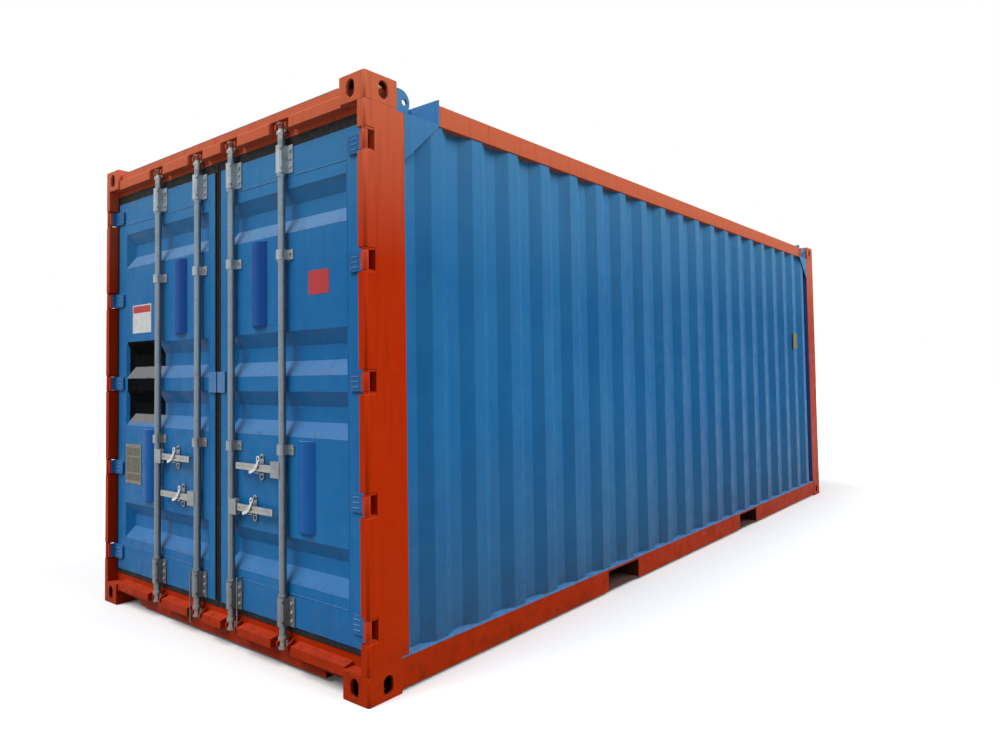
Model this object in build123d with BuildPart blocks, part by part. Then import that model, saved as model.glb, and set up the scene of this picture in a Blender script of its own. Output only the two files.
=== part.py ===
"""Twenty-foot steel freight container with double doors, lock rods and forklift pockets.

Millimetres. The door end faces -Y, X runs to the right seen from that end, Z is up, and the
origin is at the middle of the footprint, on the ground. Depths are counted from the plane of the
door end's corner castings towards the inside.
"""

from build123d import *

import math
import os

os.makedirs("parts", exist_ok=True)

# Overall size, over the corner castings
LENGTH = 6058.0
WIDTH = 2438.0
HEIGHT = 2591.0

# Corner castings
CASTING_X = 162.0
CASTING_Y = 178.0
CASTING_Z = 118.0
CASTING_WALL = 18.0
CASTING_ROUND = 12.0
SIDE_HOLE_WIDTH = 51.0
SIDE_HOLE_HEIGHT = 79.0
LOCK_HOLE_WIDTH = 63.5
LOCK_HOLE_LENGTH = 124.0
LOCK_HOLE_INSET_X = 89.5
LOCK_HOLE_INSET_Y = 102.5

# Corner posts
POST_WIDTH = 47.0
POST_DEPTH = 220.0
POST_WALL = 6.0
POST_ROUND = 12.0

# Rails
RAIL_INSET = 4.0
TOP_RAIL_WIDTH = 60.0
TOP_RAIL_HEIGHT = 100.0
TOP_RAIL_WALL = 4.0
ROOF_DROP = 29.0
CORNER_RECESS_LENGTH = 258.0
CORNER_RECESS_WIDTH = 191.0
BOTTOM_RAIL_Z = 13.0
BOTTOM_RAIL_HEIGHT = 137.0
BOTTOM_RAIL_WALL = 4.5
BOTTOM_RAIL_TOP_FLANGE = 50.0
BOTTOM_RAIL_FOOT_FLANGE = 30.0

# Forklift pockets
POCKET_WIDTH = 360.0
POCKET_HEIGHT = 115.0
POCKET_SPACING = 2050.0
POCKET_PLATE = 4.0
POCKET_STRAP_LENGTH = 200.0

# Corrugated walls
SHEET = 2.0
PITCH = 278.0
FLAT_OUT = 72.0
FLAT_IN = 70.0
CORRUGATION = 36.0
WALL_INSET = 10.0
WALL_START = 110.0
FRONT_PITCH = 250.0
FRONT_FLAT_OUT = 110.0
FRONT_FLAT_IN = 104.0
FRONT_CORRUGATION = 45.0
FRONT_INSET = 12.0

# Roof
ROOF_RIB_PITCH = 209.0
ROOF_RIB_WIDTH = 91.0
ROOF_RIB_HEIGHT = 20.0
ROOF_RIB_TAPER = 45.0
ROOF_LAP = 10.0
ROOF_RIB_MARGIN = 45.0

# Floor
FLOOR_POCKET_GAP = 5.0
FLOOR_THICKNESS = 28.0
FLOOR_END_GAP = 110.0
MEMBER_FOOT_Z = 18.0
MEMBER_FLANGE = 45.0
MEMBER_WALL = 4.0
MEMBER_SPACING = 305.0

# Door end frame
WEB_DEPTH = 56.0
BAR_DEPTH = 8.0
HEADER_FACE_DEPTH = 20.0
HEADER_BACK_DEPTH = 100.0
HEADER_HEIGHT = 117.0
HEADER_BEAM_HEIGHT = 40.0
HEADER_BAR_HEIGHT = 55.0
HEADER_BAR_CHAMFER = 5.0
HEADER_WALL = 4.0
SILL_FOOT_Z = 17.0
SILL_BACK_DEPTH = 110.0
SILL_WALL = 4.5
SILL_BLOCK_DROP = 28.0
SILL_BLOCK_HEIGHT = 52.0
SILL_BLOCK_FALL = 10.0
SILL_CUT_LENGTH = 190.0
SILL_CUT_TOP_Z = 45.0
KEEPER_GAP = 77.0

# Door leaves
LEAF_FACE_DEPTH = 46.0
LEAF_THICKNESS = 50.0
LEAF_FREE_EDGE = 21.0
LEAF_SIDE_GAP = 30.0
LEAF_FOOT_GAP = 30.0
LEAF_HEAD_GAP = 53.0
FREE_STILE = 67.0
HINGE_STILE = 96.0
FOOT_RAIL = 148.0
HEAD_RAIL = 136.0
TUBE_WALL = 3.2
PANEL_INSET = 0.0
FOOT_RECESS_RISE = 298.0
MIDDLE_RECESSES = (1156.0, 1434.0)
HEAD_RECESS_DROP = 296.0
RECESS_SLOPE = 68.0
RECESS_FLOOR = 70.0
RECESS_DEPTH = 36.0
RECESS_END_SLOPE = 44.0
RECESS_END_MARGIN = 5.0
RIB_WIDTH = 134.0
RIB_HEIGHT = 20.0
RIB_FOOT_GAP = 36.0
RIB_HEAD_GAP = 16.0
LOWER_RIB_REACH = 154.0

# Door gasket
SWING_GAP = 5.0
CENTRE_HALF_GAP = 4.0
GASKET_FRONT_DEPTH = 50.0
GASKET_BACK_DEPTH = 90.0

# Hinges
HINGE_COUNT = 5
HINGE_FOOT_RISE = 103.0
HINGE_HEAD_DROP = 87.0
PIN_INSET = 16.0
PIN_DEPTH = 14.0
PIN_RADIUS = 7.5
PIN_CLEARANCE = 0.08
KNUCKLE_RADIUS = 13.0
BLADE_HEIGHT = 80.0
BLADE_THICKNESS = 10.0
BLADE_REACH = 80.0
BLADE_ROUND = 16.0
BLADE_SHOULDER = 8.0
NOTCH_HEIGHT = 100.0
NOTCH_DEPTH = 52.0
EAR_THICKNESS = 9.0
LUG_BACK = 6.0

# Lock rods
ROD_RADIUS = 17.0
ROD_DEPTH = 24.0
INNER_ROD_X = 165.0
ROD_CLEARANCE = 0.08
ROD_FOOT_DROP = 27.0
ROD_HEAD_RISE = 21.0
CAM_COLLAR_RADIUS = 22.0
CAM_COLLAR_HEIGHT = 18.0
CAM_HEIGHT = 41.0
CAM_RADIUS = 20.0
CAM_NECK_RADIUS = 14.0
CAM_CAP_HEIGHT = 12.0
CLAW_RADIUS = 9.0
CLAW_REACH = 18.0
STOP_COLLAR_RADIUS = 21.5
STOP_COLLAR_HEIGHT = 15.0
STOP_COLLAR_GAP = 2.0

# Rod brackets
END_BRACKET_HEIGHT = 130.0
FOOT_BRACKET_RISE = 3.0
HEAD_BRACKET_RISE = 8.0
SHORT_BRACKET_HEIGHT = 46.0
LOWER_BRACKET_Z = 993.0
UPPER_BRACKET_DROP = 502.0
BRACKET_HALF_WIDTH = 62.0
BRACKET_PLATE = 6.0
SADDLE_RADIUS = 21.5
SADDLE_CHAMFER = 8.0
SADDLE_NOTCH_HEIGHT = 12.0
SADDLE_NOTCH_INSET = 14.0
SADDLE_NOTCH_WIDTH = 4.0
SADDLE_NOTCH_DEPTH = 14.0

# Handles
OUTER_HANDLE_Z = 900.0
INNER_HANDLE_Z = 700.0
HUB_HEIGHT = 75.0
HUB_REACH = 70.0
HUB_FRONT_DEPTH = 4.0
HUB_BACK_DEPTH = 26.0
HUB_SLOT_CLEARANCE = 1.0
HANDLE_PIN_REACH = 47.0
HANDLE_PIN_RADIUS = 5.0
HANDLE_REACH = 370.0
HANDLE_TIP_GAP = 46.0
HANDLE_HEIGHT = 34.0
HANDLE_TIP_HEIGHT = 30.0
HANDLE_FRONT_DEPTH = 10.0
HANDLE_THICKNESS = 10.0
HANDLE_GROOVE_HEIGHT = 10.0
HANDLE_GROOVE_DEPTH = 2.5
HANDLE_GROOVE_MARGIN = 30.0

# Handle retainers and catches
OUTER_CATCH_REACH = 196.0
INNER_CATCH_REACH = 179.0
RETAINER_HEIGHT = 126.0
RETAINER_WIDTH = 34.0
RETAINER_EYE = 9.0
RETAINER_SHELF = 6.0
RETAINER_SHELF_DEPTH = 14.0
CATCH_FRONT_DEPTH = 4.0
CATCH_THICKNESS = 5.0
CATCH_WIDTH = 14.0
CATCH_EYE_RADIUS = 14.0
CATCH_EYE_HOLE = 7.0
CATCH_PRONG = 8.0
CATCH_BACK_DEPTH = 33.0
RIVET_RADIUS = 6.0

# Cam keepers
KEEPER_INNER = 34.0
KEEPER_THICKNESS = 10.0
KEEPER_FRONT_DEPTH = 16.0
KEEPER_HEIGHT = 54.0
TOP_KEEPER_RISE = 13.0
FOOT_KEEPER_DROP = 75.0

# Seal plates and tie-back bars
SEAL_PLATE_FOOT_Z = 1252.0
SEAL_PLATE_TOP_Z = 1358.0
SEAL_PLATE_REACH = 78.0
SEAL_PLATE_THICKNESS = 8.0
TIE_BAR_X = 224.0
TIE_BAR_RADIUS = 4.0
TIE_BAR_DEPTH = 18.0
RIGHT_TIE_BAR_SPAN = (109.0, 348.0)
LEFT_TIE_BAR_SPAN = (52.0, 304.0)

# Corner gussets and recess plates
CORNER_PLATE = 6.0
GUSSET_DROP = 206.0
LUG_LENGTH = 92.0
LUG_HEIGHT = 108.0
LUG_HOLE = 15.0
LUG_HOLE_INSET = 30.0
LUG_INSET = 20.0
RECESS_RISE = 22.0

# Sizes that follow from the ones above
DOOR_Y = -LENGTH / 2
SIDE_X = WIDTH / 2
POST_X = SIDE_X - POST_WIDTH
RAIL_X = SIDE_X - RAIL_INSET
BETWEEN_CASTINGS = SIDE_X - CASTING_X
LOCK_HOLE_X = SIDE_X - LOCK_HOLE_INSET_X
LOCK_HOLE_Y = -DOOR_Y - LOCK_HOLE_INSET_Y
ROOF_SEAT_Z = HEIGHT - ROOF_DROP
POCKET_TOP_Z = BOTTOM_RAIL_Z + POCKET_HEIGHT
FLOOR_TOP = POCKET_TOP_Z + POCKET_PLATE + FLOOR_POCKET_GAP + FLOOR_THICKNESS
RECESS_END = CASTING_Y + CORNER_RECESS_LENGTH
RAIL_END_Y = -DOOR_Y - RECESS_END
TOP_RAIL_FOOT_Z = ROOF_SEAT_Z - TOP_RAIL_HEIGHT
BOTTOM_RAIL_TOP_Z = BOTTOM_RAIL_Z + BOTTOM_RAIL_HEIGHT
RAIL_INNER_X = RAIL_X - BOTTOM_RAIL_TOP_FLANGE
HEADER_FOOT_Z = ROOF_SEAT_Z - HEADER_HEIGHT
HEADER_BAR_TOP_Z = ROOF_SEAT_Z - HEADER_BEAM_HEIGHT
HEADER_BAR_FOOT_Z = HEADER_BAR_TOP_Z - HEADER_BAR_HEIGHT
SILL_TOP_Z = FLOOR_TOP
SILL_BLOCK_BACK_Z = SILL_TOP_Z - SILL_BLOCK_DROP
SILL_BLOCK_NOSE_Z = SILL_BLOCK_BACK_Z - SILL_BLOCK_FALL
SILL_BLOCK_FOOT_Z = SILL_BLOCK_BACK_Z - SILL_BLOCK_HEIGHT
LEAF_HINGE_EDGE = POST_X - LEAF_SIDE_GAP
LEAF_FOOT_Z = SILL_TOP_Z + LEAF_FOOT_GAP
LEAF_TOP_Z = HEADER_FOOT_Z - LEAF_HEAD_GAP
LEAF_BACK_DEPTH = LEAF_FACE_DEPTH + LEAF_THICKNESS
RECESS_CENTRES = (LEAF_FOOT_Z + FOOT_RECESS_RISE, *MIDDLE_RECESSES, LEAF_TOP_Z - HEAD_RECESS_DROP)
RECESS_HALF = RECESS_FLOOR / 2 + RECESS_SLOPE
HINGE_STEP = (LEAF_TOP_Z - HINGE_HEAD_DROP - LEAF_FOOT_Z - HINGE_FOOT_RISE) / (HINGE_COUNT - 1)
HINGE_Z = [LEAF_FOOT_Z + HINGE_FOOT_RISE + step * HINGE_STEP for step in range(HINGE_COUNT)]
PIN_X = SIDE_X - PIN_INSET
OUTER_ROD_X = INNER_ROD_X + HANDLE_REACH + HANDLE_TIP_GAP + ROD_RADIUS
ROD_XS = (OUTER_ROD_X, INNER_ROD_X)
OUTER_CATCH_X = OUTER_ROD_X - OUTER_CATCH_REACH
INNER_CATCH_X = INNER_ROD_X + INNER_CATCH_REACH
UPPER_RIB_X = (OUTER_ROD_X + INNER_ROD_X) / 2
LOWER_RIB_X = OUTER_ROD_X + LOWER_RIB_REACH
ROD_FOOT_Z = SILL_TOP_Z - ROD_FOOT_DROP
ROD_HEAD_Z = HEADER_FOOT_Z + ROD_HEAD_RISE
UPPER_BRACKET_Z = LEAF_TOP_Z - UPPER_BRACKET_DROP
FOOT_BRACKET_Z = LEAF_FOOT_Z + FOOT_BRACKET_RISE
HEAD_BRACKET_TOP_Z = LEAF_TOP_Z + HEAD_BRACKET_RISE
BRACKET_SPANS = (
    (FOOT_BRACKET_Z, FOOT_BRACKET_Z + END_BRACKET_HEIGHT),
    (LOWER_BRACKET_Z - SHORT_BRACKET_HEIGHT / 2, LOWER_BRACKET_Z + SHORT_BRACKET_HEIGHT / 2),
    (UPPER_BRACKET_Z - SHORT_BRACKET_HEIGHT / 2, UPPER_BRACKET_Z + SHORT_BRACKET_HEIGHT / 2),
    (HEAD_BRACKET_TOP_Z - END_BRACKET_HEIGHT, HEAD_BRACKET_TOP_Z),
)
TOP_KEEPER_Z = HEADER_FOOT_Z + TOP_KEEPER_RISE
FOOT_KEEPER_Z = SILL_TOP_Z - FOOT_KEEPER_DROP


def door_plane(depth):
    """Plane facing the door end, at this depth: X to the right, Z up, extruding outwards."""
    return Plane(origin=(0, DOOR_Y + depth, 0), x_dir=(1, 0, 0), z_dir=(0, -1, 0))


def at(depth, z):
    """Point of a lengthwise section, from its depth behind the door end and its height."""
    return (DOOR_Y + depth, z)


def block(x, y, z, mode=Mode.ADD):
    """Rectangular plate or cut between two x, two y and two z values."""
    middle = ((x[0] + x[1]) / 2, (y[0] + y[1]) / 2, (z[0] + z[1]) / 2)
    with Locations(middle):
        Box(abs(x[1] - x[0]), abs(y[1] - y[0]), abs(z[1] - z[0]), mode=mode)


def depths(front, back):
    """The two y values of a pair of depths."""
    return (DOOR_Y + front, DOOR_Y + back)


def save(part, name):
    """Label a finished piece and write its file."""
    part.label = name
    export_step(part, f"parts/{name}.step")


def save_pair(builder, name):
    """Write a right-hand piece and its mirrored left-hand twin."""
    with BuildPart() as twin:
        mirror(builder.part, about=Plane.YZ)
    save(builder.part, f"right_{name}")
    save(twin.part, f"left_{name}")


def between_keepers():
    """Spans of the header and sill between the castings that stop short of each cam keeper."""
    rods = sorted([-OUTER_ROD_X, -INNER_ROD_X, INNER_ROD_X, OUTER_ROD_X])
    starts = [-BETWEEN_CASTINGS] + [x + KEEPER_GAP for x in rods]
    ends = [x - KEEPER_GAP for x in rods] + [BETWEEN_CASTINGS]
    return list(zip(starts, ends))


def wave(start, end, first, flat_out, flat_in, pitch):
    """Corners (place, share of depth) of a trapezoid corrugation; first is an outer flat's start."""
    slope = (pitch - flat_out - flat_in) / 2
    steps = ((0, 0), (flat_out, 0), (flat_out + slope, 1), (flat_out + slope + flat_in, 1))
    corners = []
    base = first
    while base > start:
        base -= pitch
    while base < end:
        corners += [(base + step, share) for step, share in steps]
        base += pitch
    corners.append((base, 0))

    def share_at(place):
        for (p, a), (q, b) in zip(corners, corners[1:]):
            if p <= place <= q:
                return a + (b - a) * (place - p) / (q - p)
        return 0

    inside = [c for c in corners if start < c[0] < end]
    return [(start, share_at(start))] + inside + [(end, share_at(end))]


# Corner castings: hollow blocks with a lock hole and two lashing holes each
with BuildPart() as bottom_castings:
    with Locations((SIDE_X - CASTING_X / 2, DOOR_Y + CASTING_Y / 2, CASTING_Z / 2)):
        Box(CASTING_X, CASTING_Y, CASTING_Z)
        outer_edges = bottom_castings.edges().filter_by(Axis.Z).group_by(Axis.X)[-1]
        fillet(outer_edges.sort_by(Axis.Y)[0], CASTING_ROUND)
        Box(CASTING_X - 2 * CASTING_WALL, CASTING_Y - 2 * CASTING_WALL, CASTING_Z - 2 * CASTING_WALL,
            mode=Mode.SUBTRACT)
    with BuildSketch(Plane.XY):
        with Locations((LOCK_HOLE_X, -LOCK_HOLE_Y)):
            SlotOverall(LOCK_HOLE_LENGTH, LOCK_HOLE_WIDTH, rotation=90)
    extrude(amount=2 * CASTING_WALL, mode=Mode.SUBTRACT)
    with BuildSketch(door_plane(0)):
        with Locations((LOCK_HOLE_X, CASTING_Z / 2)):
            SlotOverall(SIDE_HOLE_HEIGHT, SIDE_HOLE_WIDTH, rotation=90)
    extrude(amount=-2 * CASTING_WALL, mode=Mode.SUBTRACT)
    with BuildSketch(Plane.YZ.offset(SIDE_X)):
        with Locations((-LOCK_HOLE_Y, CASTING_Z / 2)):
            SlotOverall(SIDE_HOLE_HEIGHT, SIDE_HOLE_WIDTH, rotation=90)
    extrude(amount=-2 * CASTING_WALL, mode=Mode.SUBTRACT)
    mirror(about=Plane.YZ)
    mirror(about=Plane.XZ)
save(bottom_castings.part, "bottom_corner_castings")

with BuildPart() as top_castings:
    mirror(bottom_castings.part, about=Plane.XY.offset(HEIGHT / 2))
save(top_castings.part, "top_corner_castings")


def post(notches):
    """Hollow corner post at the right of the door end, notched at these heights for hinges."""
    with BuildPart() as body:
        with BuildSketch(Plane.XY.offset(CASTING_Z)) as outline:
            with Locations((SIDE_X - POST_WIDTH / 2, DOOR_Y + POST_DEPTH / 2)):
                Rectangle(POST_WIDTH, POST_DEPTH)
                fillet(outline.vertices().group_by(Axis.X)[-1].sort_by(Axis.Y)[0], POST_ROUND)
                Rectangle(POST_WIDTH - 2 * POST_WALL, POST_DEPTH - 2 * POST_WALL, mode=Mode.SUBTRACT)
        extrude(amount=HEIGHT - 2 * CASTING_Z)
        behind = depths(CASTING_Y, POST_DEPTH)
        block((POST_X, SIDE_X), behind, (CASTING_Z, BOTTOM_RAIL_TOP_Z), Mode.SUBTRACT)
        block((POST_X, SIDE_X), behind, (TOP_RAIL_FOOT_Z, HEIGHT - CASTING_Z), Mode.SUBTRACT)
        for hinge_z in notches:
            notch = (hinge_z - NOTCH_HEIGHT / 2, hinge_z + NOTCH_HEIGHT / 2)
            block((POST_X, SIDE_X), depths(0, NOTCH_DEPTH), notch, Mode.SUBTRACT)
    return body


with BuildPart() as door_posts:
    add(post(HINGE_Z).part)
    mirror(about=Plane.YZ)
save(door_posts.part, "door_posts")

with BuildPart() as front_posts:
    mirror(post(()).part, about=Plane.XZ)
    mirror(about=Plane.YZ)
save(front_posts.part, "front_corner_posts")

# Hinge lugs: a back plate inside the post, two ears and the pin through them
with BuildPart() as lugs:
    for hinge_z in HINGE_Z:
        ear_foot = hinge_z - NOTCH_HEIGHT / 2
        back = depths(NOTCH_DEPTH, NOTCH_DEPTH + LUG_BACK)
        block((POST_X + POST_WALL, SIDE_X - POST_WALL), back, (ear_foot, ear_foot + NOTCH_HEIGHT))
        for ear_z in (ear_foot, ear_foot + NOTCH_HEIGHT - EAR_THICKNESS):
            with BuildSketch(Plane.XY.offset(ear_z)):
                with Locations((PIN_X, DOOR_Y + PIN_DEPTH)):
                    Circle(KNUCKLE_RADIUS)
                with Locations((PIN_X, DOOR_Y + (PIN_DEPTH + NOTCH_DEPTH) / 2)):
                    Rectangle(2 * KNUCKLE_RADIUS, NOTCH_DEPTH - PIN_DEPTH)
            extrude(amount=EAR_THICKNESS)
        with BuildSketch(Plane.XY.offset(ear_foot)):
            with Locations((PIN_X, DOOR_Y + PIN_DEPTH)):
                Circle(PIN_RADIUS)
        extrude(amount=NOTCH_HEIGHT)
    mirror(about=Plane.YZ)
save(lugs.part, "hinge_lugs")

# Door header: a hollow beam between the castings, and a lintel set back below it
with BuildPart() as door_header:
    with BuildSketch(Plane.YZ.offset(-BETWEEN_CASTINGS)):
        beam_depth = (HEADER_FACE_DEPTH + HEADER_BACK_DEPTH) / 2
        with Locations(at(beam_depth, ROOF_SEAT_Z - HEADER_BEAM_HEIGHT / 2)):
            Rectangle(HEADER_BACK_DEPTH - HEADER_FACE_DEPTH, HEADER_BEAM_HEIGHT)
        offset(amount=-HEADER_WALL, kind=Kind.INTERSECTION, mode=Mode.SUBTRACT)
    extrude(amount=2 * BETWEEN_CASTINGS)
save(door_header.part, "door_header")

with BuildPart() as header_lintel:
    lintel_height = HEADER_HEIGHT - HEADER_BEAM_HEIGHT
    with BuildSketch(Plane.YZ.offset(-BETWEEN_CASTINGS)):
        with Locations(at((WEB_DEPTH + HEADER_BACK_DEPTH) / 2, HEADER_FOOT_Z + lintel_height / 2)):
            Rectangle(HEADER_BACK_DEPTH - WEB_DEPTH, lintel_height)
        offset(amount=-HEADER_WALL, kind=Kind.INTERSECTION, mode=Mode.SUBTRACT)
    extrude(amount=2 * BETWEEN_CASTINGS)
    ends = (HEADER_FOOT_Z, HEIGHT - CASTING_Z)
    block((-POST_X, POST_X), depths(WEB_DEPTH, WEB_DEPTH + HEADER_WALL), ends)
    block((-POST_X, POST_X), depths(WEB_DEPTH, HEADER_BACK_DEPTH), (HEADER_FOOT_Z, HEADER_FOOT_Z + HEADER_WALL))
save(header_lintel.part, "header_lintel")

# Door sill: a channel open to the inside
with BuildPart() as door_sill:
    with BuildSketch(Plane.YZ.offset(-BETWEEN_CASTINGS)):
        with BuildLine():
            Polyline(
                at(WEB_DEPTH, SILL_FOOT_Z), at(WEB_DEPTH, SILL_TOP_Z), at(SILL_BACK_DEPTH, SILL_TOP_Z),
                at(SILL_BACK_DEPTH, SILL_TOP_Z - SILL_WALL), at(WEB_DEPTH + SILL_WALL, SILL_TOP_Z - SILL_WALL),
                at(WEB_DEPTH + SILL_WALL, SILL_FOOT_Z + SILL_WALL), at(SILL_BACK_DEPTH, SILL_FOOT_Z + SILL_WALL),
                at(SILL_BACK_DEPTH, SILL_FOOT_Z), close=True)
        make_face()
    extrude(amount=2 * BETWEEN_CASTINGS)
    block((-POST_X, POST_X), depths(WEB_DEPTH, WEB_DEPTH + SILL_WALL), (CASTING_Z, SILL_TOP_Z))
    block((-POST_X, POST_X), depths(WEB_DEPTH, SILL_BACK_DEPTH), (SILL_TOP_Z - SILL_WALL, SILL_TOP_Z))
    for side in (-1, 1):
        cut = (side * (BETWEEN_CASTINGS - SILL_CUT_LENGTH), side * BETWEEN_CASTINGS)
        block(cut, depths(WEB_DEPTH, SILL_BACK_DEPTH), (SILL_FOOT_Z, SILL_CUT_TOP_Z), Mode.SUBTRACT)
save(door_sill.part, "door_sill")

# Guard bars on the header and sill, cut away at each cam keeper
with BuildPart() as guard_bars:
    for span in between_keepers():
        with BuildSketch(Plane.YZ.offset(span[0])):
            with BuildLine():
                Polyline(
                    at(BAR_DEPTH, HEADER_BAR_FOOT_Z), at(BAR_DEPTH, HEADER_BAR_TOP_Z - HEADER_BAR_CHAMFER),
                    at(BAR_DEPTH + HEADER_BAR_CHAMFER, HEADER_BAR_TOP_Z), at(WEB_DEPTH, HEADER_BAR_TOP_Z),
                    at(WEB_DEPTH, HEADER_BAR_FOOT_Z), close=True)
            make_face()
            with BuildLine():
                Polyline(
                    at(BAR_DEPTH, SILL_BLOCK_FOOT_Z), at(BAR_DEPTH, SILL_BLOCK_NOSE_Z),
                    at(WEB_DEPTH, SILL_BLOCK_BACK_Z), at(WEB_DEPTH, SILL_BLOCK_FOOT_Z), close=True)
            make_face()
        extrude(amount=span[1] - span[0])
save(guard_bars.part, "guard_bars")

# Cam keepers: a pair of sloped cheeks beside each end of each rod
with BuildPart() as keepers:
    for rod_x in ROD_XS:
        for cheek_x in (rod_x - KEEPER_INNER - KEEPER_THICKNESS, rod_x + KEEPER_INNER):
            for foot_z, slope_end in ((FOOT_KEEPER_Z, 0), (TOP_KEEPER_Z, 1)):
                nose = foot_z + KEEPER_HEIGHT * (0.35 + 0.3 * slope_end)
                with BuildSketch(Plane.YZ.offset(cheek_x)):
                    with BuildLine():
                        Polyline(
                            at(WEB_DEPTH, foot_z), at(WEB_DEPTH, foot_z + KEEPER_HEIGHT),
                            at(KEEPER_FRONT_DEPTH, nose + KEEPER_HEIGHT * 0.2),
                            at(KEEPER_FRONT_DEPTH, nose - KEEPER_HEIGHT * 0.2), close=True)
                    make_face()
                extrude(amount=KEEPER_THICKNESS)
    mirror(about=Plane.YZ)
save(keepers.part, "cam_keepers")

# Front end rails: a hollow one above, a channel below
with BuildPart() as front_rails:
    with BuildSketch(Plane.YZ.offset(-BETWEEN_CASTINGS)):
        middle_depth = (FRONT_INSET + HEADER_BACK_DEPTH) / 2
        with Locations((-DOOR_Y - middle_depth, ROOF_SEAT_Z - TOP_RAIL_HEIGHT / 2)):
            Rectangle(HEADER_BACK_DEPTH - FRONT_INSET, TOP_RAIL_HEIGHT)
        offset(amount=-TOP_RAIL_WALL, kind=Kind.INTERSECTION, mode=Mode.SUBTRACT)
    extrude(amount=2 * BETWEEN_CASTINGS)
    top_casting_foot = HEIGHT - CASTING_Z
    web = (-DOOR_Y - FRONT_INSET - TOP_RAIL_WALL, -DOOR_Y - FRONT_INSET)
    block((-POST_X, POST_X), web, (TOP_RAIL_FOOT_Z, top_casting_foot))
    outer_y = -DOOR_Y - FRONT_INSET
    inner_y = outer_y - TOP_RAIL_WIDTH
    with BuildSketch(Plane.YZ.offset(-BETWEEN_CASTINGS)):
        with BuildLine():
            Polyline(
                (outer_y, SILL_FOOT_Z), (outer_y, BOTTOM_RAIL_TOP_Z), (inner_y, BOTTOM_RAIL_TOP_Z),
                (inner_y, BOTTOM_RAIL_TOP_Z - SILL_WALL), (outer_y - SILL_WALL, BOTTOM_RAIL_TOP_Z - SILL_WALL),
                (outer_y - SILL_WALL, SILL_FOOT_Z + SILL_WALL), (inner_y, SILL_FOOT_Z + SILL_WALL),
                (inner_y, SILL_FOOT_Z), close=True)
        make_face()
    extrude(amount=2 * BETWEEN_CASTINGS)
    block((-POST_X, POST_X), (outer_y - SILL_WALL, outer_y), (CASTING_Z, BOTTOM_RAIL_TOP_Z))
save(front_rails.part, "front_rails")

# Side rails
with BuildPart() as top_rails:
    with BuildSketch(Plane.XZ.offset(-RAIL_END_Y)):
        with Locations((RAIL_X - TOP_RAIL_WIDTH / 2, ROOF_SEAT_Z - TOP_RAIL_HEIGHT / 2)):
            Rectangle(TOP_RAIL_WIDTH, TOP_RAIL_HEIGHT)
        offset(amount=-TOP_RAIL_WALL, kind=Kind.INTERSECTION, mode=Mode.SUBTRACT)
    extrude(amount=2 * RAIL_END_Y)
    mirror(about=Plane.YZ)
save(top_rails.part, "top_side_rails")

with BuildPart() as bottom_rails:
    rail_half = -DOOR_Y - CASTING_Y
    with BuildSketch(Plane.XZ.offset(-rail_half)):
        with BuildLine():
            inner_web = RAIL_X - BOTTOM_RAIL_WALL
            foot_x = RAIL_X - BOTTOM_RAIL_FOOT_FLANGE
            Polyline(
                (RAIL_X, BOTTOM_RAIL_Z), (RAIL_X, BOTTOM_RAIL_TOP_Z), (RAIL_INNER_X, BOTTOM_RAIL_TOP_Z),
                (RAIL_INNER_X, BOTTOM_RAIL_TOP_Z - BOTTOM_RAIL_WALL), (inner_web, BOTTOM_RAIL_TOP_Z - BOTTOM_RAIL_WALL),
                (inner_web, BOTTOM_RAIL_Z + BOTTOM_RAIL_WALL), (foot_x, BOTTOM_RAIL_Z + BOTTOM_RAIL_WALL),
                (foot_x, BOTTOM_RAIL_Z), close=True)
        make_face()
    extrude(amount=2 * rail_half)
    for pocket_y in (-POCKET_SPACING / 2, POCKET_SPACING / 2):
        gap = (pocket_y - POCKET_WIDTH / 2, pocket_y + POCKET_WIDTH / 2)
        block((foot_x, RAIL_X), gap, (BOTTOM_RAIL_Z, BOTTOM_RAIL_Z + POCKET_HEIGHT), Mode.SUBTRACT)
    mirror(about=Plane.YZ)
save(bottom_rails.part, "bottom_side_rails")

# Side walls: one corrugated sheet each, from post to post
with BuildPart() as side_walls:
    reach = -DOOR_Y - POST_DEPTH
    corners = wave(-reach, reach, DOOR_Y + WALL_START, FLAT_OUT, FLAT_IN, PITCH)
    outer_x = SIDE_X - WALL_INSET
    with BuildSketch(Plane.XY.offset(BOTTOM_RAIL_TOP_Z)):
        with BuildLine():
            outside = [(outer_x - share * CORRUGATION, y) for y, share in corners]
            inside = [(x - SHEET, y) for x, y in reversed(outside)]
            Polyline(*outside, *inside, close=True)
        make_face()
    extrude(amount=TOP_RAIL_FOOT_Z - BOTTOM_RAIL_TOP_Z)
    mirror(about=Plane.YZ)
save(side_walls.part, "side_walls")

# Front wall: the closed end
with BuildPart() as front_wall:
    corners = wave(-POST_X, POST_X, -FRONT_FLAT_OUT / 2, FRONT_FLAT_OUT, FRONT_FLAT_IN, FRONT_PITCH)
    outer_y = -DOOR_Y - FRONT_INSET
    with BuildSketch(Plane.XY.offset(BOTTOM_RAIL_TOP_Z)):
        with BuildLine():
            outside = [(x, outer_y - share * FRONT_CORRUGATION) for x, share in corners]
            inside = [(x, y - SHEET) for x, y in reversed(outside)]
            Polyline(*outside, *inside, close=True)
        make_face()
    extrude(amount=TOP_RAIL_FOOT_Z - BOTTOM_RAIL_TOP_Z)
save(front_wall.part, "front_wall")

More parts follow.
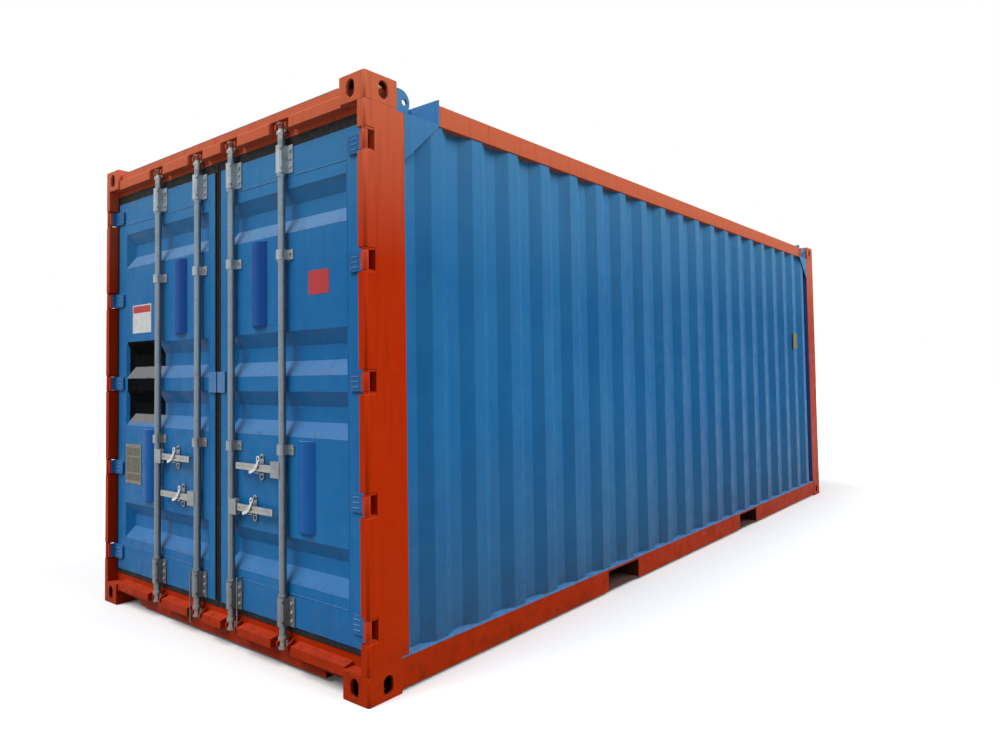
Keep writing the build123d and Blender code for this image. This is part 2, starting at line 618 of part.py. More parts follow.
# Roof: sheet with pressed cross ribs, narrower beside the recessed corners
with BuildPart() as roof:
    half_width = RAIL_X - TOP_RAIL_WIDTH + ROOF_LAP
    neck_width = SIDE_X - CORNER_RECESS_WIDTH - CORNER_PLATE
    roof_end = -DOOR_Y - HEADER_FACE_DEPTH
    with BuildSketch(Plane.XY.offset(ROOF_SEAT_Z)):
        Rectangle(2 * half_width, 2 * RAIL_END_Y)
        Rectangle(2 * neck_width, 2 * roof_end)
    extrude(amount=SHEET)
    rib_count = int((2 * roof_end - ROOF_RIB_WIDTH) // ROOF_RIB_PITCH) + 1
    rib_length = 2 * (neck_width - ROOF_RIB_MARGIN)
    with BuildSketch(Plane.XY.offset(ROOF_SEAT_Z + SHEET)):
        with GridLocations(1, ROOF_RIB_PITCH, 1, rib_count):
            Rectangle(rib_length, ROOF_RIB_WIDTH)
    extrude(amount=ROOF_RIB_HEIGHT - SHEET, taper=ROOF_RIB_TAPER)
    with BuildSketch(Plane.XY.offset(ROOF_SEAT_Z)):
        with GridLocations(1, ROOF_RIB_PITCH, 1, rib_count):
            Rectangle(rib_length - SHEET, ROOF_RIB_WIDTH - SHEET)
    extrude(amount=ROOF_RIB_HEIGHT - SHEET, taper=ROOF_RIB_TAPER, mode=Mode.SUBTRACT)
save(roof.part, "roof")

# Recessed top corners: ledge, inner wall, end plate, gusset and lifting lug at each corner
with BuildPart() as corner_plates:
    recess_x = SIDE_X - CORNER_RECESS_WIDTH
    plate_top = ROOF_SEAT_Z + RECESS_RISE
    ledge = (TOP_RAIL_FOOT_Z, TOP_RAIL_FOOT_Z + CORNER_PLATE)
    block((recess_x, SIDE_X), depths(CASTING_Y, RECESS_END), ledge)
    block((recess_x, BETWEEN_CASTINGS), depths(HEADER_BACK_DEPTH, CASTING_Y), ledge)
    block((recess_x - CORNER_PLATE, recess_x), depths(HEADER_BACK_DEPTH, RECESS_END), (ledge[0], plate_top))
    end_plate = depths(RECESS_END - CORNER_PLATE, RECESS_END)
    block((recess_x - CORNER_PLATE, SIDE_X), end_plate, (ledge[0], plate_top))
    gusset_x = SIDE_X - CORNER_PLATE
    with BuildSketch(Plane.YZ.offset(gusset_x)):
        with BuildLine():
            Polyline(at(POST_DEPTH, ledge[0]), at(RECESS_END, ledge[0]), at(POST_DEPTH, ledge[0] - GUSSET_DROP),
                     close=True)
        make_face()
    extrude(amount=CORNER_PLATE)
    lug_foot = ledge[1]
    lug_round = LUG_HEIGHT / 2
    with BuildSketch(Plane.YZ.offset(SIDE_X - LUG_INSET)):
        with Locations(at(CASTING_Y + (LUG_LENGTH - lug_round) / 2, lug_foot + lug_round)):
            Rectangle(LUG_LENGTH - lug_round, LUG_HEIGHT)
        with Locations(at(CASTING_Y + LUG_LENGTH - lug_round, lug_foot + lug_round)):
            Circle(lug_round)
        with Locations(at(CASTING_Y + LUG_LENGTH - LUG_HOLE_INSET, lug_foot + lug_round)):
            Circle(LUG_HOLE, mode=Mode.SUBTRACT)
    extrude(amount=-2 * CORNER_PLATE)
    lug_x = (SIDE_X - LUG_INSET - 2 * CORNER_PLATE, SIDE_X - LUG_INSET)
    block(lug_x, depths(CASTING_Y - lug_round, CASTING_Y), (lug_foot, lug_foot + LUG_HEIGHT), Mode.SUBTRACT)
    mirror(about=Plane.YZ)
    mirror(about=Plane.XZ)
save(corner_plates.part, "corner_plates")

# Floor and what carries it: the pockets are open below, apart from a strap at each mouth
with BuildPart() as floor:
    floor_reach = -DOOR_Y - FLOOR_END_GAP
    block((-RAIL_INNER_X, RAIL_INNER_X), (-floor_reach, floor_reach), (FLOOR_TOP - FLOOR_THICKNESS, FLOOR_TOP))
save(floor.part, "floor")

with BuildPart() as pockets:
    for pocket_y in (-POCKET_SPACING / 2, POCKET_SPACING / 2):
        with BuildSketch(Plane.YZ.offset(-RAIL_X + BOTTOM_RAIL_WALL)):
            wide = POCKET_WIDTH + 2 * POCKET_PLATE
            tall = POCKET_TOP_Z + POCKET_PLATE - MEMBER_FOOT_Z
            with Locations((pocket_y, MEMBER_FOOT_Z + tall / 2)):
                Rectangle(wide, tall)
            with Locations((pocket_y, MEMBER_FOOT_Z + (tall - POCKET_PLATE) / 2)):
                Rectangle(POCKET_WIDTH, tall - POCKET_PLATE, mode=Mode.SUBTRACT)
        extrude(amount=2 * (RAIL_X - BOTTOM_RAIL_WALL))
        mouth = RAIL_X - BOTTOM_RAIL_WALL
        for side in (-1, 1):
            strap = (side * (mouth - POCKET_STRAP_LENGTH), side * mouth)
            across = (pocket_y - POCKET_WIDTH / 2, pocket_y + POCKET_WIDTH / 2)
            block(strap, across, (MEMBER_FOOT_Z, MEMBER_FOOT_Z + POCKET_PLATE))
save(pockets.part, "forklift_pockets")


def member_places():
    """Places along the length of the cross members, clear of the forklift pockets."""
    count = int((-DOOR_Y - POST_DEPTH) // MEMBER_SPACING)
    clear = POCKET_WIDTH / 2 + POCKET_PLATE + MEMBER_FLANGE
    places = []
    for step in range(-count, count + 1):
        place = step * MEMBER_SPACING
        if abs(abs(place) - POCKET_SPACING / 2) > clear:
            places.append(place)
    return places


with BuildPart() as members:
    member_top = FLOOR_TOP - FLOOR_THICKNESS
    for place in member_places():
        with BuildSketch(Plane.YZ.offset(-RAIL_X + BOTTOM_RAIL_WALL)):
            with Locations((place, (MEMBER_FOOT_Z + member_top) / 2)):
                Rectangle(MEMBER_FLANGE, member_top - MEMBER_FOOT_Z)
            with Locations((place + MEMBER_WALL / 2, (MEMBER_FOOT_Z + member_top) / 2)):
                Rectangle(MEMBER_FLANGE - MEMBER_WALL, member_top - MEMBER_FOOT_Z - 2 * MEMBER_WALL,
                          mode=Mode.SUBTRACT)
        extrude(amount=2 * (RAIL_X - BOTTOM_RAIL_WALL))
save(members.part, "cross_members")

# Door leaf: frame of welded tube, open at the ends of its uprights
PANEL_X = (LEAF_FREE_EDGE + FREE_STILE, LEAF_HINGE_EDGE - HINGE_STILE)
PANEL_Z = (LEAF_FOOT_Z + FOOT_RAIL, LEAF_TOP_Z - HEAD_RAIL)
with BuildPart() as door_frame:
    with BuildSketch(door_plane(LEAF_BACK_DEPTH)):
        with Locations(((LEAF_FREE_EDGE + LEAF_HINGE_EDGE) / 2, (LEAF_FOOT_Z + LEAF_TOP_Z) / 2)):
            Rectangle(LEAF_HINGE_EDGE - LEAF_FREE_EDGE, LEAF_TOP_Z - LEAF_FOOT_Z)
        with Locations((sum(PANEL_X) / 2, sum(PANEL_Z) / 2)):
            Rectangle(PANEL_X[1] - PANEL_X[0], PANEL_Z[1] - PANEL_Z[0], mode=Mode.SUBTRACT)
    extrude(amount=LEAF_THICKNESS)
    bore = depths(LEAF_FACE_DEPTH + TUBE_WALL, LEAF_BACK_DEPTH - TUBE_WALL)
    for stile in ((LEAF_FREE_EDGE, PANEL_X[0]), (PANEL_X[1], LEAF_HINGE_EDGE)):
        block((stile[0] + TUBE_WALL, stile[1] - TUBE_WALL), bore, (LEAF_FOOT_Z, LEAF_TOP_Z), Mode.SUBTRACT)
    for rail in ((LEAF_FOOT_Z, PANEL_Z[0]), (PANEL_Z[1], LEAF_TOP_Z)):
        across = (PANEL_X[0] - TUBE_WALL, PANEL_X[1] + TUBE_WALL)
        block(across, bore, (rail[0] + TUBE_WALL, rail[1] - TUBE_WALL), Mode.SUBTRACT)
save_pair(door_frame, "door_frame")


# Door sheet with four pressed recesses, sloped all round, and two upright ribs
with BuildPart() as door_panel:
    face = LEAF_FACE_DEPTH + PANEL_INSET
    mouth_width = PANEL_X[1] - PANEL_X[0] - 2 * RECESS_END_MARGIN
    block(PANEL_X, depths(face, face + SHEET), PANEL_Z)
    for back, mode in ((SHEET, Mode.ADD), (0, Mode.SUBTRACT)):
        for centre in RECESS_CENTRES:
            with BuildSketch(door_plane(face)):
                with Locations((sum(PANEL_X) / 2, centre)):
                    Rectangle(mouth_width, 2 * RECESS_HALF)
            with BuildSketch(door_plane(face + RECESS_DEPTH + back)):
                with Locations((sum(PANEL_X) / 2, centre)):
                    floor_width = mouth_width - 2 * RECESS_END_SLOPE
                    Rectangle(floor_width + 2 * back, RECESS_FLOOR + 2 * back)
            loft(mode=mode)
    face_y = DOOR_Y + LEAF_FACE_DEPTH + PANEL_INSET
    for rib_x, below, above in ((LOWER_RIB_X, 0, 1), (UPPER_RIB_X, 2, 3)):
        half = RIB_WIDTH / 2
        inner = half - SHEET
        rib_span = (RECESS_CENTRES[below] + RECESS_HALF + RIB_FOOT_GAP,
                    RECESS_CENTRES[above] - RECESS_HALF - RIB_HEAD_GAP)
        with BuildSketch(Plane.XY.offset(rib_span[0])):
            with BuildLine():
                ThreePointArc((rib_x - half, face_y), (rib_x, face_y - RIB_HEIGHT), (rib_x + half, face_y))
                Line((rib_x + half, face_y), (rib_x - half, face_y))
            make_face()
        extrude(amount=rib_span[1] - rib_span[0])
        with BuildSketch(Plane.XY.offset(rib_span[0] + SHEET)):
            with BuildLine():
                ThreePointArc((rib_x - inner, face_y), (rib_x, face_y - RIB_HEIGHT + SHEET), (rib_x + inner, face_y))
                Line((rib_x + inner, face_y), (rib_x + inner, face_y + SHEET))
                Line((rib_x + inner, face_y + SHEET), (rib_x - inner, face_y + SHEET))
                Line((rib_x - inner, face_y + SHEET), (rib_x - inner, face_y))
            make_face()
        extrude(amount=rib_span[1] - rib_span[0] - 2 * SHEET, mode=Mode.SUBTRACT)
save_pair(door_panel, "door_panel")

# Door gasket: a ring round the leaf, clear of the frame and of the other leaf's gasket
GASKET_X = (CENTRE_HALF_GAP, POST_X - SWING_GAP)
GASKET_Z = (SILL_TOP_Z + SWING_GAP, HEADER_FOOT_Z - SWING_GAP)
with BuildPart() as gasket:
    with BuildSketch(door_plane(GASKET_BACK_DEPTH)):
        with Locations((sum(GASKET_X) / 2, sum(GASKET_Z) / 2)):
            Rectangle(GASKET_X[1] - GASKET_X[0], GASKET_Z[1] - GASKET_Z[0])
        with Locations(((LEAF_FREE_EDGE + LEAF_HINGE_EDGE) / 2, (LEAF_FOOT_Z + LEAF_TOP_Z) / 2)):
            Rectangle(LEAF_HINGE_EDGE - LEAF_FREE_EDGE, LEAF_TOP_Z - LEAF_FOOT_Z, mode=Mode.SUBTRACT)
    extrude(amount=GASKET_BACK_DEPTH - GASKET_FRONT_DEPTH)
save_pair(gasket, "door_gasket")

# Hinge blades: flat on the leaf, then bent forward round the pin
with BuildPart() as blades:
    for hinge_z in HINGE_Z:
        blade_y = DOOR_Y + LEAF_FACE_DEPTH - BLADE_THICKNESS / 2
        with BuildSketch(Plane.XY.offset(hinge_z - BLADE_HEIGHT / 2)):
            with BuildLine() as blade_line:
                Polyline(
                    (LEAF_HINGE_EDGE - BLADE_REACH, blade_y), (POST_X, blade_y),
                    (POST_X + BLADE_SHOULDER, DOOR_Y + PIN_DEPTH), (PIN_X, DOOR_Y + PIN_DEPTH))
            trace(line_width=BLADE_THICKNESS)
            with Locations((PIN_X, DOOR_Y + PIN_DEPTH)):
                Circle(KNUCKLE_RADIUS)
                Circle(PIN_RADIUS + PIN_CLEARANCE, mode=Mode.SUBTRACT)
        extrude(amount=BLADE_HEIGHT)
    fillet(blades.edges().filter_by(Axis.Y).group_by(Axis.X)[0], BLADE_ROUND)
save_pair(blades, "hinge_blades")


def rod(rod_x):
    """One lock rod: bar, cams with claws at both ends, and the collars that keep it in its brackets."""
    with BuildPart() as bar:
        axis = (rod_x, DOOR_Y + ROD_DEPTH)
        for radius, foot, top in (
            (ROD_RADIUS, ROD_FOOT_Z, ROD_HEAD_Z),
            (CAM_COLLAR_RADIUS, ROD_FOOT_Z, ROD_FOOT_Z + CAM_COLLAR_HEIGHT),
            (CAM_COLLAR_RADIUS, ROD_HEAD_Z - CAM_COLLAR_HEIGHT, ROD_HEAD_Z),
            (STOP_COLLAR_RADIUS, BRACKET_SPANS[0][1] + STOP_COLLAR_GAP,
             BRACKET_SPANS[0][1] + STOP_COLLAR_GAP + STOP_COLLAR_HEIGHT),
            (STOP_COLLAR_RADIUS, BRACKET_SPANS[-1][0] - STOP_COLLAR_GAP - STOP_COLLAR_HEIGHT,
             BRACKET_SPANS[-1][0] - STOP_COLLAR_GAP),
        ):
            with BuildSketch(Plane.XY.offset(foot)):
                with Locations(axis):
                    Circle(radius)
            extrude(amount=top - foot)
        for foot in (ROD_FOOT_Z - CAM_HEIGHT, ROD_HEAD_Z):
            with BuildSketch(Plane.XY.offset(foot)):
                with Locations(axis):
                    Circle(CAM_NECK_RADIUS)
                    with PolarLocations(CLAW_REACH, 2, start_angle=50, angular_range=160):
                        Circle(CLAW_RADIUS)
            extrude(amount=CAM_HEIGHT)
        for foot in (ROD_FOOT_Z - CAM_HEIGHT, ROD_HEAD_Z + CAM_HEIGHT - CAM_CAP_HEIGHT):
            with BuildSketch(Plane.XY.offset(foot)):
                with Locations(axis):
                    Circle(CAM_RADIUS)
            extrude(amount=CAM_CAP_HEIGHT)
    return bar


def hub(rod_x, handle_z, towards):
    """The block welded to a lock rod, with a slot for the handle and the pin across it."""
    with BuildPart() as body:
        hub_z = (handle_z - HUB_HEIGHT / 2, handle_z + HUB_HEIGHT / 2)
        block((rod_x, rod_x + towards * HUB_REACH), depths(HUB_FRONT_DEPTH, HUB_BACK_DEPTH), hub_z)
        slot_start = HANDLE_PIN_REACH - HANDLE_HEIGHT / 2 - HUB_SLOT_CLEARANCE
        slot = depths(HANDLE_FRONT_DEPTH - HUB_SLOT_CLEARANCE,
                      HANDLE_FRONT_DEPTH + HANDLE_THICKNESS + HUB_SLOT_CLEARANCE)
        block((rod_x + towards * slot_start, rod_x + towards * HUB_REACH), slot, hub_z, Mode.SUBTRACT)
        with BuildSketch(Plane.XY.offset(hub_z[0])):
            with Locations((rod_x, DOOR_Y + ROD_DEPTH)):
                Circle(ROD_RADIUS)
        extrude(amount=HUB_HEIGHT, mode=Mode.SUBTRACT)
        with BuildSketch(door_plane(HUB_BACK_DEPTH)):
            with Locations((rod_x + towards * HANDLE_PIN_REACH, handle_z)):
                Circle(HANDLE_PIN_RADIUS)
        extrude(amount=HUB_BACK_DEPTH - HUB_FRONT_DEPTH)
    return body


def handle(rod_x, handle_z, towards, catch_x):
    """One handle: a bar tapered to its tip, its pin hole, and the rivet that carries the catch."""
    with BuildPart() as bar:
        pin_x = rod_x + towards * HANDLE_PIN_REACH
        tip_x = rod_x + towards * HANDLE_REACH
        with BuildSketch(door_plane(HANDLE_FRONT_DEPTH + HANDLE_THICKNESS)):
            with BuildLine():
                Polyline(
                    (pin_x, handle_z - HANDLE_HEIGHT / 2), (tip_x, handle_z - HANDLE_TIP_HEIGHT / 2),
                    (tip_x, handle_z + HANDLE_TIP_HEIGHT / 2), (pin_x, handle_z + HANDLE_HEIGHT / 2), close=True)
            make_face()
            with Locations((pin_x, handle_z)):
                Circle(HANDLE_HEIGHT / 2)
                Circle(HANDLE_PIN_RADIUS + PIN_CLEARANCE, mode=Mode.SUBTRACT)
        extrude(amount=HANDLE_THICKNESS)
        groove_length = HANDLE_REACH - HANDLE_PIN_REACH - 2 * HANDLE_GROOVE_MARGIN
        groove_x = (pin_x + tip_x) / 2 + towards * HANDLE_GROOVE_MARGIN / 2
        with BuildSketch(door_plane(HANDLE_FRONT_DEPTH)):
            with Locations((groove_x, handle_z)):
                SlotOverall(groove_length, HANDLE_GROOVE_HEIGHT)
        extrude(amount=-HANDLE_GROOVE_DEPTH, mode=Mode.SUBTRACT)
        with BuildSketch(door_plane(HANDLE_FRONT_DEPTH + HANDLE_GROOVE_DEPTH)):
            with Locations((catch_x, handle_z)):
                Circle(RIVET_RADIUS)
        extrude(amount=HANDLE_FRONT_DEPTH + HANDLE_GROOVE_DEPTH - CATCH_FRONT_DEPTH)
    return bar


def catch(catch_x, handle_z):
    """One catch: a curved lever across the front of the handle, with an eye and a prong at its top."""
    with BuildPart() as lever:
        eye = (catch_x + 26, handle_z + 44)
        with BuildSketch(door_plane(CATCH_FRONT_DEPTH + CATCH_THICKNESS)):
            with BuildLine():
                Line((catch_x - 50, handle_z - 25), (catch_x - 20, handle_z - 16))
                ThreePointArc((catch_x - 20, handle_z - 16), (catch_x + 9, handle_z + 7), eye)
            trace(line_width=CATCH_WIDTH)
            with Locations((catch_x, handle_z)):
                Circle(CATCH_WIDTH * 0.8)
                Circle(RIVET_RADIUS + PIN_CLEARANCE, mode=Mode.SUBTRACT)
            with Locations(eye):
                Circle(CATCH_EYE_RADIUS)
                Circle(CATCH_EYE_HOLE, mode=Mode.SUBTRACT)
        extrude(amount=CATCH_THICKNESS)
        prong_reach = (CATCH_EYE_RADIUS + CATCH_EYE_HOLE) / 2
        with BuildSketch(door_plane(CATCH_BACK_DEPTH)):
            with Locations((eye[0] + prong_reach * 0.7, eye[1] + prong_reach * 0.7)):
                Circle(CATCH_PRONG / 2)
        extrude(amount=CATCH_BACK_DEPTH - CATCH_FRONT_DEPTH - CATCH_THICKNESS)
    return lever


ROD_SETS = (
    ("outer", OUTER_ROD_X, OUTER_HANDLE_Z, -1, OUTER_CATCH_X),
    ("inner", INNER_ROD_X, INNER_HANDLE_Z, 1, INNER_CATCH_X),
)
for place, rod_x, handle_z, towards, catch_x in ROD_SETS:
    save_pair(rod(rod_x), f"{place}_lock_rod")
    save_pair(hub(rod_x, handle_z, towards), f"{place}_rod_hub")
    save_pair(handle(rod_x, handle_z, towards, catch_x), f"{place}_handle")
    save(catch(catch_x, handle_z).part, f"right_{place}_catch")
    save(catch(-catch_x, handle_z).part, f"left_{place}_catch")

# Shelves that the handles rest on, each standing out from its retainer plate
with BuildPart() as rests:
    for place, rod_x, handle_z, towards, catch_x in ROD_SETS:
        shelf_top = handle_z - HANDLE_HEIGHT / 2 - SWING_GAP
        block((catch_x - RETAINER_WIDTH / 2, catch_x + RETAINER_WIDTH / 2),
              depths(RETAINER_SHELF_DEPTH, LEAF_FACE_DEPTH - BRACKET_PLATE),
              (shelf_top - RETAINER_SHELF, shelf_top))
save_pair(rests, "handle_rests")


def leaf_brackets(tie_bar_span):
    """Fittings of the right leaf: rod guides, handle retainers, half a seal plate and a tie-back bar."""
    with BuildPart() as brackets:
        for rod_x in ROD_XS:
            axis = (rod_x, DOOR_Y + ROD_DEPTH)
            for foot, top in BRACKET_SPANS:
                with BuildSketch(Plane.XY.offset(foot)) as outline:
                    saddle_front = ROD_DEPTH - SADDLE_RADIUS
                    with Locations((rod_x, DOOR_Y + (saddle_front + LEAF_FACE_DEPTH) / 2)):
                        Rectangle(2 * SADDLE_RADIUS, LEAF_FACE_DEPTH - saddle_front)
                        chamfer(outline.vertices().group_by(Axis.Y)[0], SADDLE_CHAMFER)
                    with Locations((rod_x, DOOR_Y + LEAF_FACE_DEPTH - BRACKET_PLATE / 2)):
                        Rectangle(2 * BRACKET_HALF_WIDTH, BRACKET_PLATE)
                    with Locations(axis):
                        Circle(ROD_RADIUS + ROD_CLEARANCE, mode=Mode.SUBTRACT)
                extrude(amount=top - foot)
            for foot, top in (BRACKET_SPANS[0], BRACKET_SPANS[-1]):
                for notch_foot in (foot + SADDLE_NOTCH_INSET, top - SADDLE_NOTCH_INSET - SADDLE_NOTCH_HEIGHT):
                    for side in (-1, 1):
                        edge = rod_x + side * SADDLE_RADIUS
                        block((edge - side * SADDLE_NOTCH_WIDTH, edge),
                              depths(saddle_front, saddle_front + SADDLE_NOTCH_DEPTH),
                              (notch_foot, notch_foot + SADDLE_NOTCH_HEIGHT), Mode.SUBTRACT)
        for place, rod_x, handle_z, towards, catch_x in ROD_SETS:
            with BuildSketch(door_plane(LEAF_FACE_DEPTH)):
                with Locations((catch_x, handle_z)):
                    SlotOverall(RETAINER_HEIGHT, RETAINER_WIDTH, rotation=90)
                eye_z = RETAINER_HEIGHT / 2 - RETAINER_WIDTH / 2
                with Locations((catch_x, handle_z + eye_z), (catch_x, handle_z - eye_z)):
                    Circle(RETAINER_EYE, mode=Mode.SUBTRACT)
            extrude(amount=BRACKET_PLATE)
        block((SWING_GAP, SEAL_PLATE_REACH), depths(LEAF_FACE_DEPTH - SEAL_PLATE_THICKNESS, LEAF_FACE_DEPTH),
              (SEAL_PLATE_FOOT_Z, SEAL_PLATE_TOP_Z))
        bar_foot, bar_top = tie_bar_span
        with BuildSketch(Plane.XY.offset(bar_foot)):
            with Locations((TIE_BAR_X, DOOR_Y + TIE_BAR_DEPTH)):
                Circle(TIE_BAR_RADIUS)
        extrude(amount=bar_top - bar_foot)
        block((TIE_BAR_X - TIE_BAR_RADIUS, TIE_BAR_X + TIE_BAR_RADIUS),
              depths(TIE_BAR_DEPTH - TIE_BAR_RADIUS, LEAF_FACE_DEPTH),
              (bar_top, bar_top + 2 * TIE_BAR_RADIUS))
    return brackets


save(leaf_brackets(RIGHT_TIE_BAR_SPAN).part, "right_lock_brackets")
with BuildPart() as left_brackets:
    mirror(leaf_brackets(LEFT_TIE_BAR_SPAN).part, about=Plane.YZ)
save(left_brackets.part, "left_lock_brackets")
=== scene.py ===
"""Looks of a twenty-foot freight container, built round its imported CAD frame.

Metres, in the frame of the CAD: the door end faces -Y, X runs to the right seen from that end, Z is
up, and the origin is on the ground in the middle of the footprint.
"""

import logging
import math
from dataclasses import dataclass, field
from enum import Enum
from typing import Sequence

import bmesh
import bpy
from mathutils import Matrix, Vector


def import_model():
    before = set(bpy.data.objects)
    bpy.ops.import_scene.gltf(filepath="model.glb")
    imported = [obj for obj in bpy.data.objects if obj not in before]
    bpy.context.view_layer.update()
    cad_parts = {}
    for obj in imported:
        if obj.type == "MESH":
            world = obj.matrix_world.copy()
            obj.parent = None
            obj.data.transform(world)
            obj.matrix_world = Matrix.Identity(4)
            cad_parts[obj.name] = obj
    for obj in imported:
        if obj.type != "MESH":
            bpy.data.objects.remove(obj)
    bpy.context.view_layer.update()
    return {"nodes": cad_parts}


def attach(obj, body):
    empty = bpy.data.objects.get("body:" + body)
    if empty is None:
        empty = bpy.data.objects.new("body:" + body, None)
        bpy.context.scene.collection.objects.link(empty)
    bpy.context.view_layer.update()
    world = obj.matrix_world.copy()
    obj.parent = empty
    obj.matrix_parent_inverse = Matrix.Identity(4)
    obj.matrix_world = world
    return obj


LOG = logging.getLogger("container")
# Planes across the door end, along Y: the castings' faces and the faces of the leaves.
DOOR_FACE = -3.029
LEAF_FACE = DOOR_FACE + 0.046
# The way the doors face.
OUTWARDS = (0.0, -1.0, 0.0)
# How far a thin part is sunk in the face that it lies on.
SUNK = 0.0004
Colour = tuple[float, float, float]
Span = tuple[float, float]
Socket = bpy.types.NodeSocket


class Side(Enum):
    """The two door leaves, as seen from outside the doors."""

    RIGHT = 1
    LEFT = -1

    @property
    def word(self) -> str:
        """Name of the side, as the CAD's nodes use it."""
        return self.name.lower()


def linear(red: int, green: int, blue: int) -> Colour:
    """Turn a colour as seen on a screen into the linear one that shaders use.

    Args:
        red: Red, 0 to 255.
        green: Green, 0 to 255.
        blue: Blue, 0 to 255.

    Returns:
        The linear colour.
    """
    def one(value: int) -> float:
        """One channel of it."""
        share = value / 255
        return share / 12.92 if share <= 0.04045 else ((share + 0.055) / 1.055) ** 2.4

    return one(red), one(green), one(blue)


# Pale tone for faces that look up: dust, and painted light.
PALE_DUST_AND_LIGHT = linear(196, 200, 202)
OLD_DIRT = linear(96, 84, 72)
RUST_SPECK = linear(108, 62, 36)
BARE_STEEL = linear(92, 52, 38)
SOOT = linear(58, 52, 48)
RUST = linear(92, 34, 12)


class Graph:
    """A material under construction, with short ways to add its nodes."""

    def __init__(self, name: str) -> None:
        """Start a material that holds only its surface shader.

        Args:
            name: Name of the material.
        """
        self.material = bpy.data.materials.new(name)
        self.material.use_nodes = True
        self.tree = self.material.node_tree
        self.shader = next(n for n in self.tree.nodes if n.type == "BSDF_PRINCIPLED")
        self.place = self.tree.nodes.new("ShaderNodeTexCoord").outputs["Object"]

    def put(self, target: Socket, value: object) -> None:
        """Link a socket to the target, or write a plain value on it.

        Args:
            target: The input to fill.
            value: A socket, a colour or a number.
        """
        if isinstance(value, bpy.types.NodeSocket):
            self.tree.links.new(value, target)
        elif isinstance(value, tuple) and len(value) == 3 and target.type == "RGBA":
            target.default_value = (*value, 1.0)
        else:
            target.default_value = value

    def scaled(self, scale: Sequence[float]) -> Socket:
        """Stretch the object coordinates.

        Args:
            scale: Scale per axis.

        Returns:
            The stretched coordinates.
        """
        node = self.tree.nodes.new("ShaderNodeMapping")
        self.put(node.inputs["Vector"], self.place)
        node.inputs["Scale"].default_value = scale
        return node.outputs["Vector"]

    def noise(self, scale: float, detail: float = 4.0, rough: float = 0.55,
              stretch: Sequence[float] | None = None) -> Socket:
        """Noise from 0 to 1.

        Args:
            scale: Cells a metre, before the stretch.
            detail: Number of finer layers.
            rough: Weight of the finer layers.
            stretch: Scale per axis, to draw the pattern out along one of them.

        Returns:
            The noise.
        """
        node = self.tree.nodes.new("ShaderNodeTexNoise")
        self.put(node.inputs["Vector"], self.scaled(stretch) if stretch else self.place)
        node.inputs["Scale"].default_value = scale
        node.inputs["Detail"].default_value = detail
        node.inputs["Roughness"].default_value = rough
        return node.outputs["Fac"]

    def cells(self, scale: float, stretch: Sequence[float] | None = None) -> Socket:
        """Random grey per cell, such as the crystals of zinc.

        Args:
            scale: Cells a metre, before the stretch.
            stretch: Scale per axis.

        Returns:
            The grey, from 0 to 1.
        """
        node = self.tree.nodes.new("ShaderNodeTexVoronoi")
        self.put(node.inputs["Vector"], self.scaled(stretch) if stretch else self.place)
        node.inputs["Scale"].default_value = scale
        split = self.tree.nodes.new("ShaderNodeSeparateColor")
        self.put(split.inputs["Color"], node.outputs["Color"])
        return split.outputs["Red"]

    def span(self, value: Socket, low: float, high: float, start: float = 0.0,
             end: float = 1.0) -> Socket:
        """Map a value from one range to another, and clamp it there.

        Args:
            value: The value.
            low: Where the first range starts.
            high: Where the first range ends.
            start: What low becomes.
            end: What high becomes.

        Returns:
            The mapped value.
        """
        node = self.tree.nodes.new("ShaderNodeMapRange")
        self.put(node.inputs["Value"], value)
        for name, number in (("From Min", low), ("From Max", high), ("To Min", start), ("To Max", end)):
            node.inputs[name].default_value = number
        return node.outputs["Result"]

    def sums(self, operation: str, first: object, second: object) -> Socket:
        """One arithmetic step on two values.

        Args:
            operation: Name of the step, as the math node has it.
            first: A socket or a number.
            second: A socket or a number.

        Returns:
            The result.
        """
        node = self.tree.nodes.new("ShaderNodeMath")
        node.operation = operation
        self.put(node.inputs[0], first)
        self.put(node.inputs[1], second)
        return node.outputs[0]

    def times(self, first: object, second: object) -> Socket:
        """Product of two values."""
        return self.sums("MULTIPLY", first, second)

    def fill(self, name: str, value: object) -> None:
        """Put a value on one of the surface shader's inputs."""
        self.put(self.shader.inputs[name], value)

    def rest(self, share: Socket) -> Socket:
        """What a share leaves of 1."""
        return self.sums("SUBTRACT", 1.0, share)

    def mixed(self, share: object, first: object, second: object) -> Socket:
        """Blend two colours.

        Args:
            share: Share of the second colour, a socket or a number.
            first: A socket or a colour.
            second: A socket or a colour.

        Returns:
            The blend.
        """
        node = self.tree.nodes.new("ShaderNodeMix")
        node.data_type = "RGBA"
        sockets = {s.identifier: s for s in node.inputs}
        self.put(sockets["Factor_Float"], share)
        self.put(sockets["A_Color"], first)
        self.put(sockets["B_Color"], second)
        return next(s for s in node.outputs if s.identifier == "Result_Color")

    def height(self) -> Socket:
        """Height above the ground."""
        return self.axis("Z")

    def axis(self, name: str) -> Socket:
        """One of the object coordinates.

        Args:
            name: X, Y or Z.

        Returns:
            The coordinate.
        """
        node = self.tree.nodes.new("ShaderNodeSeparateXYZ")
        self.put(node.inputs[0], self.place)
        return node.outputs[name]

    def within(self, value: Socket, low: float, high: float, soft: float = 0.0008) -> Socket:
        """1 between two values and 0 outside them.

        Args:
            value: The value.
            low: The lower bound.
            high: The upper bound.
            soft: Half the width over which it changes at a bound.

        Returns:
            The share.
        """
        rise = self.span(value, low - soft, low + soft)
        fall = self.span(value, high + soft, high - soft)
        return self.times(rise, fall)

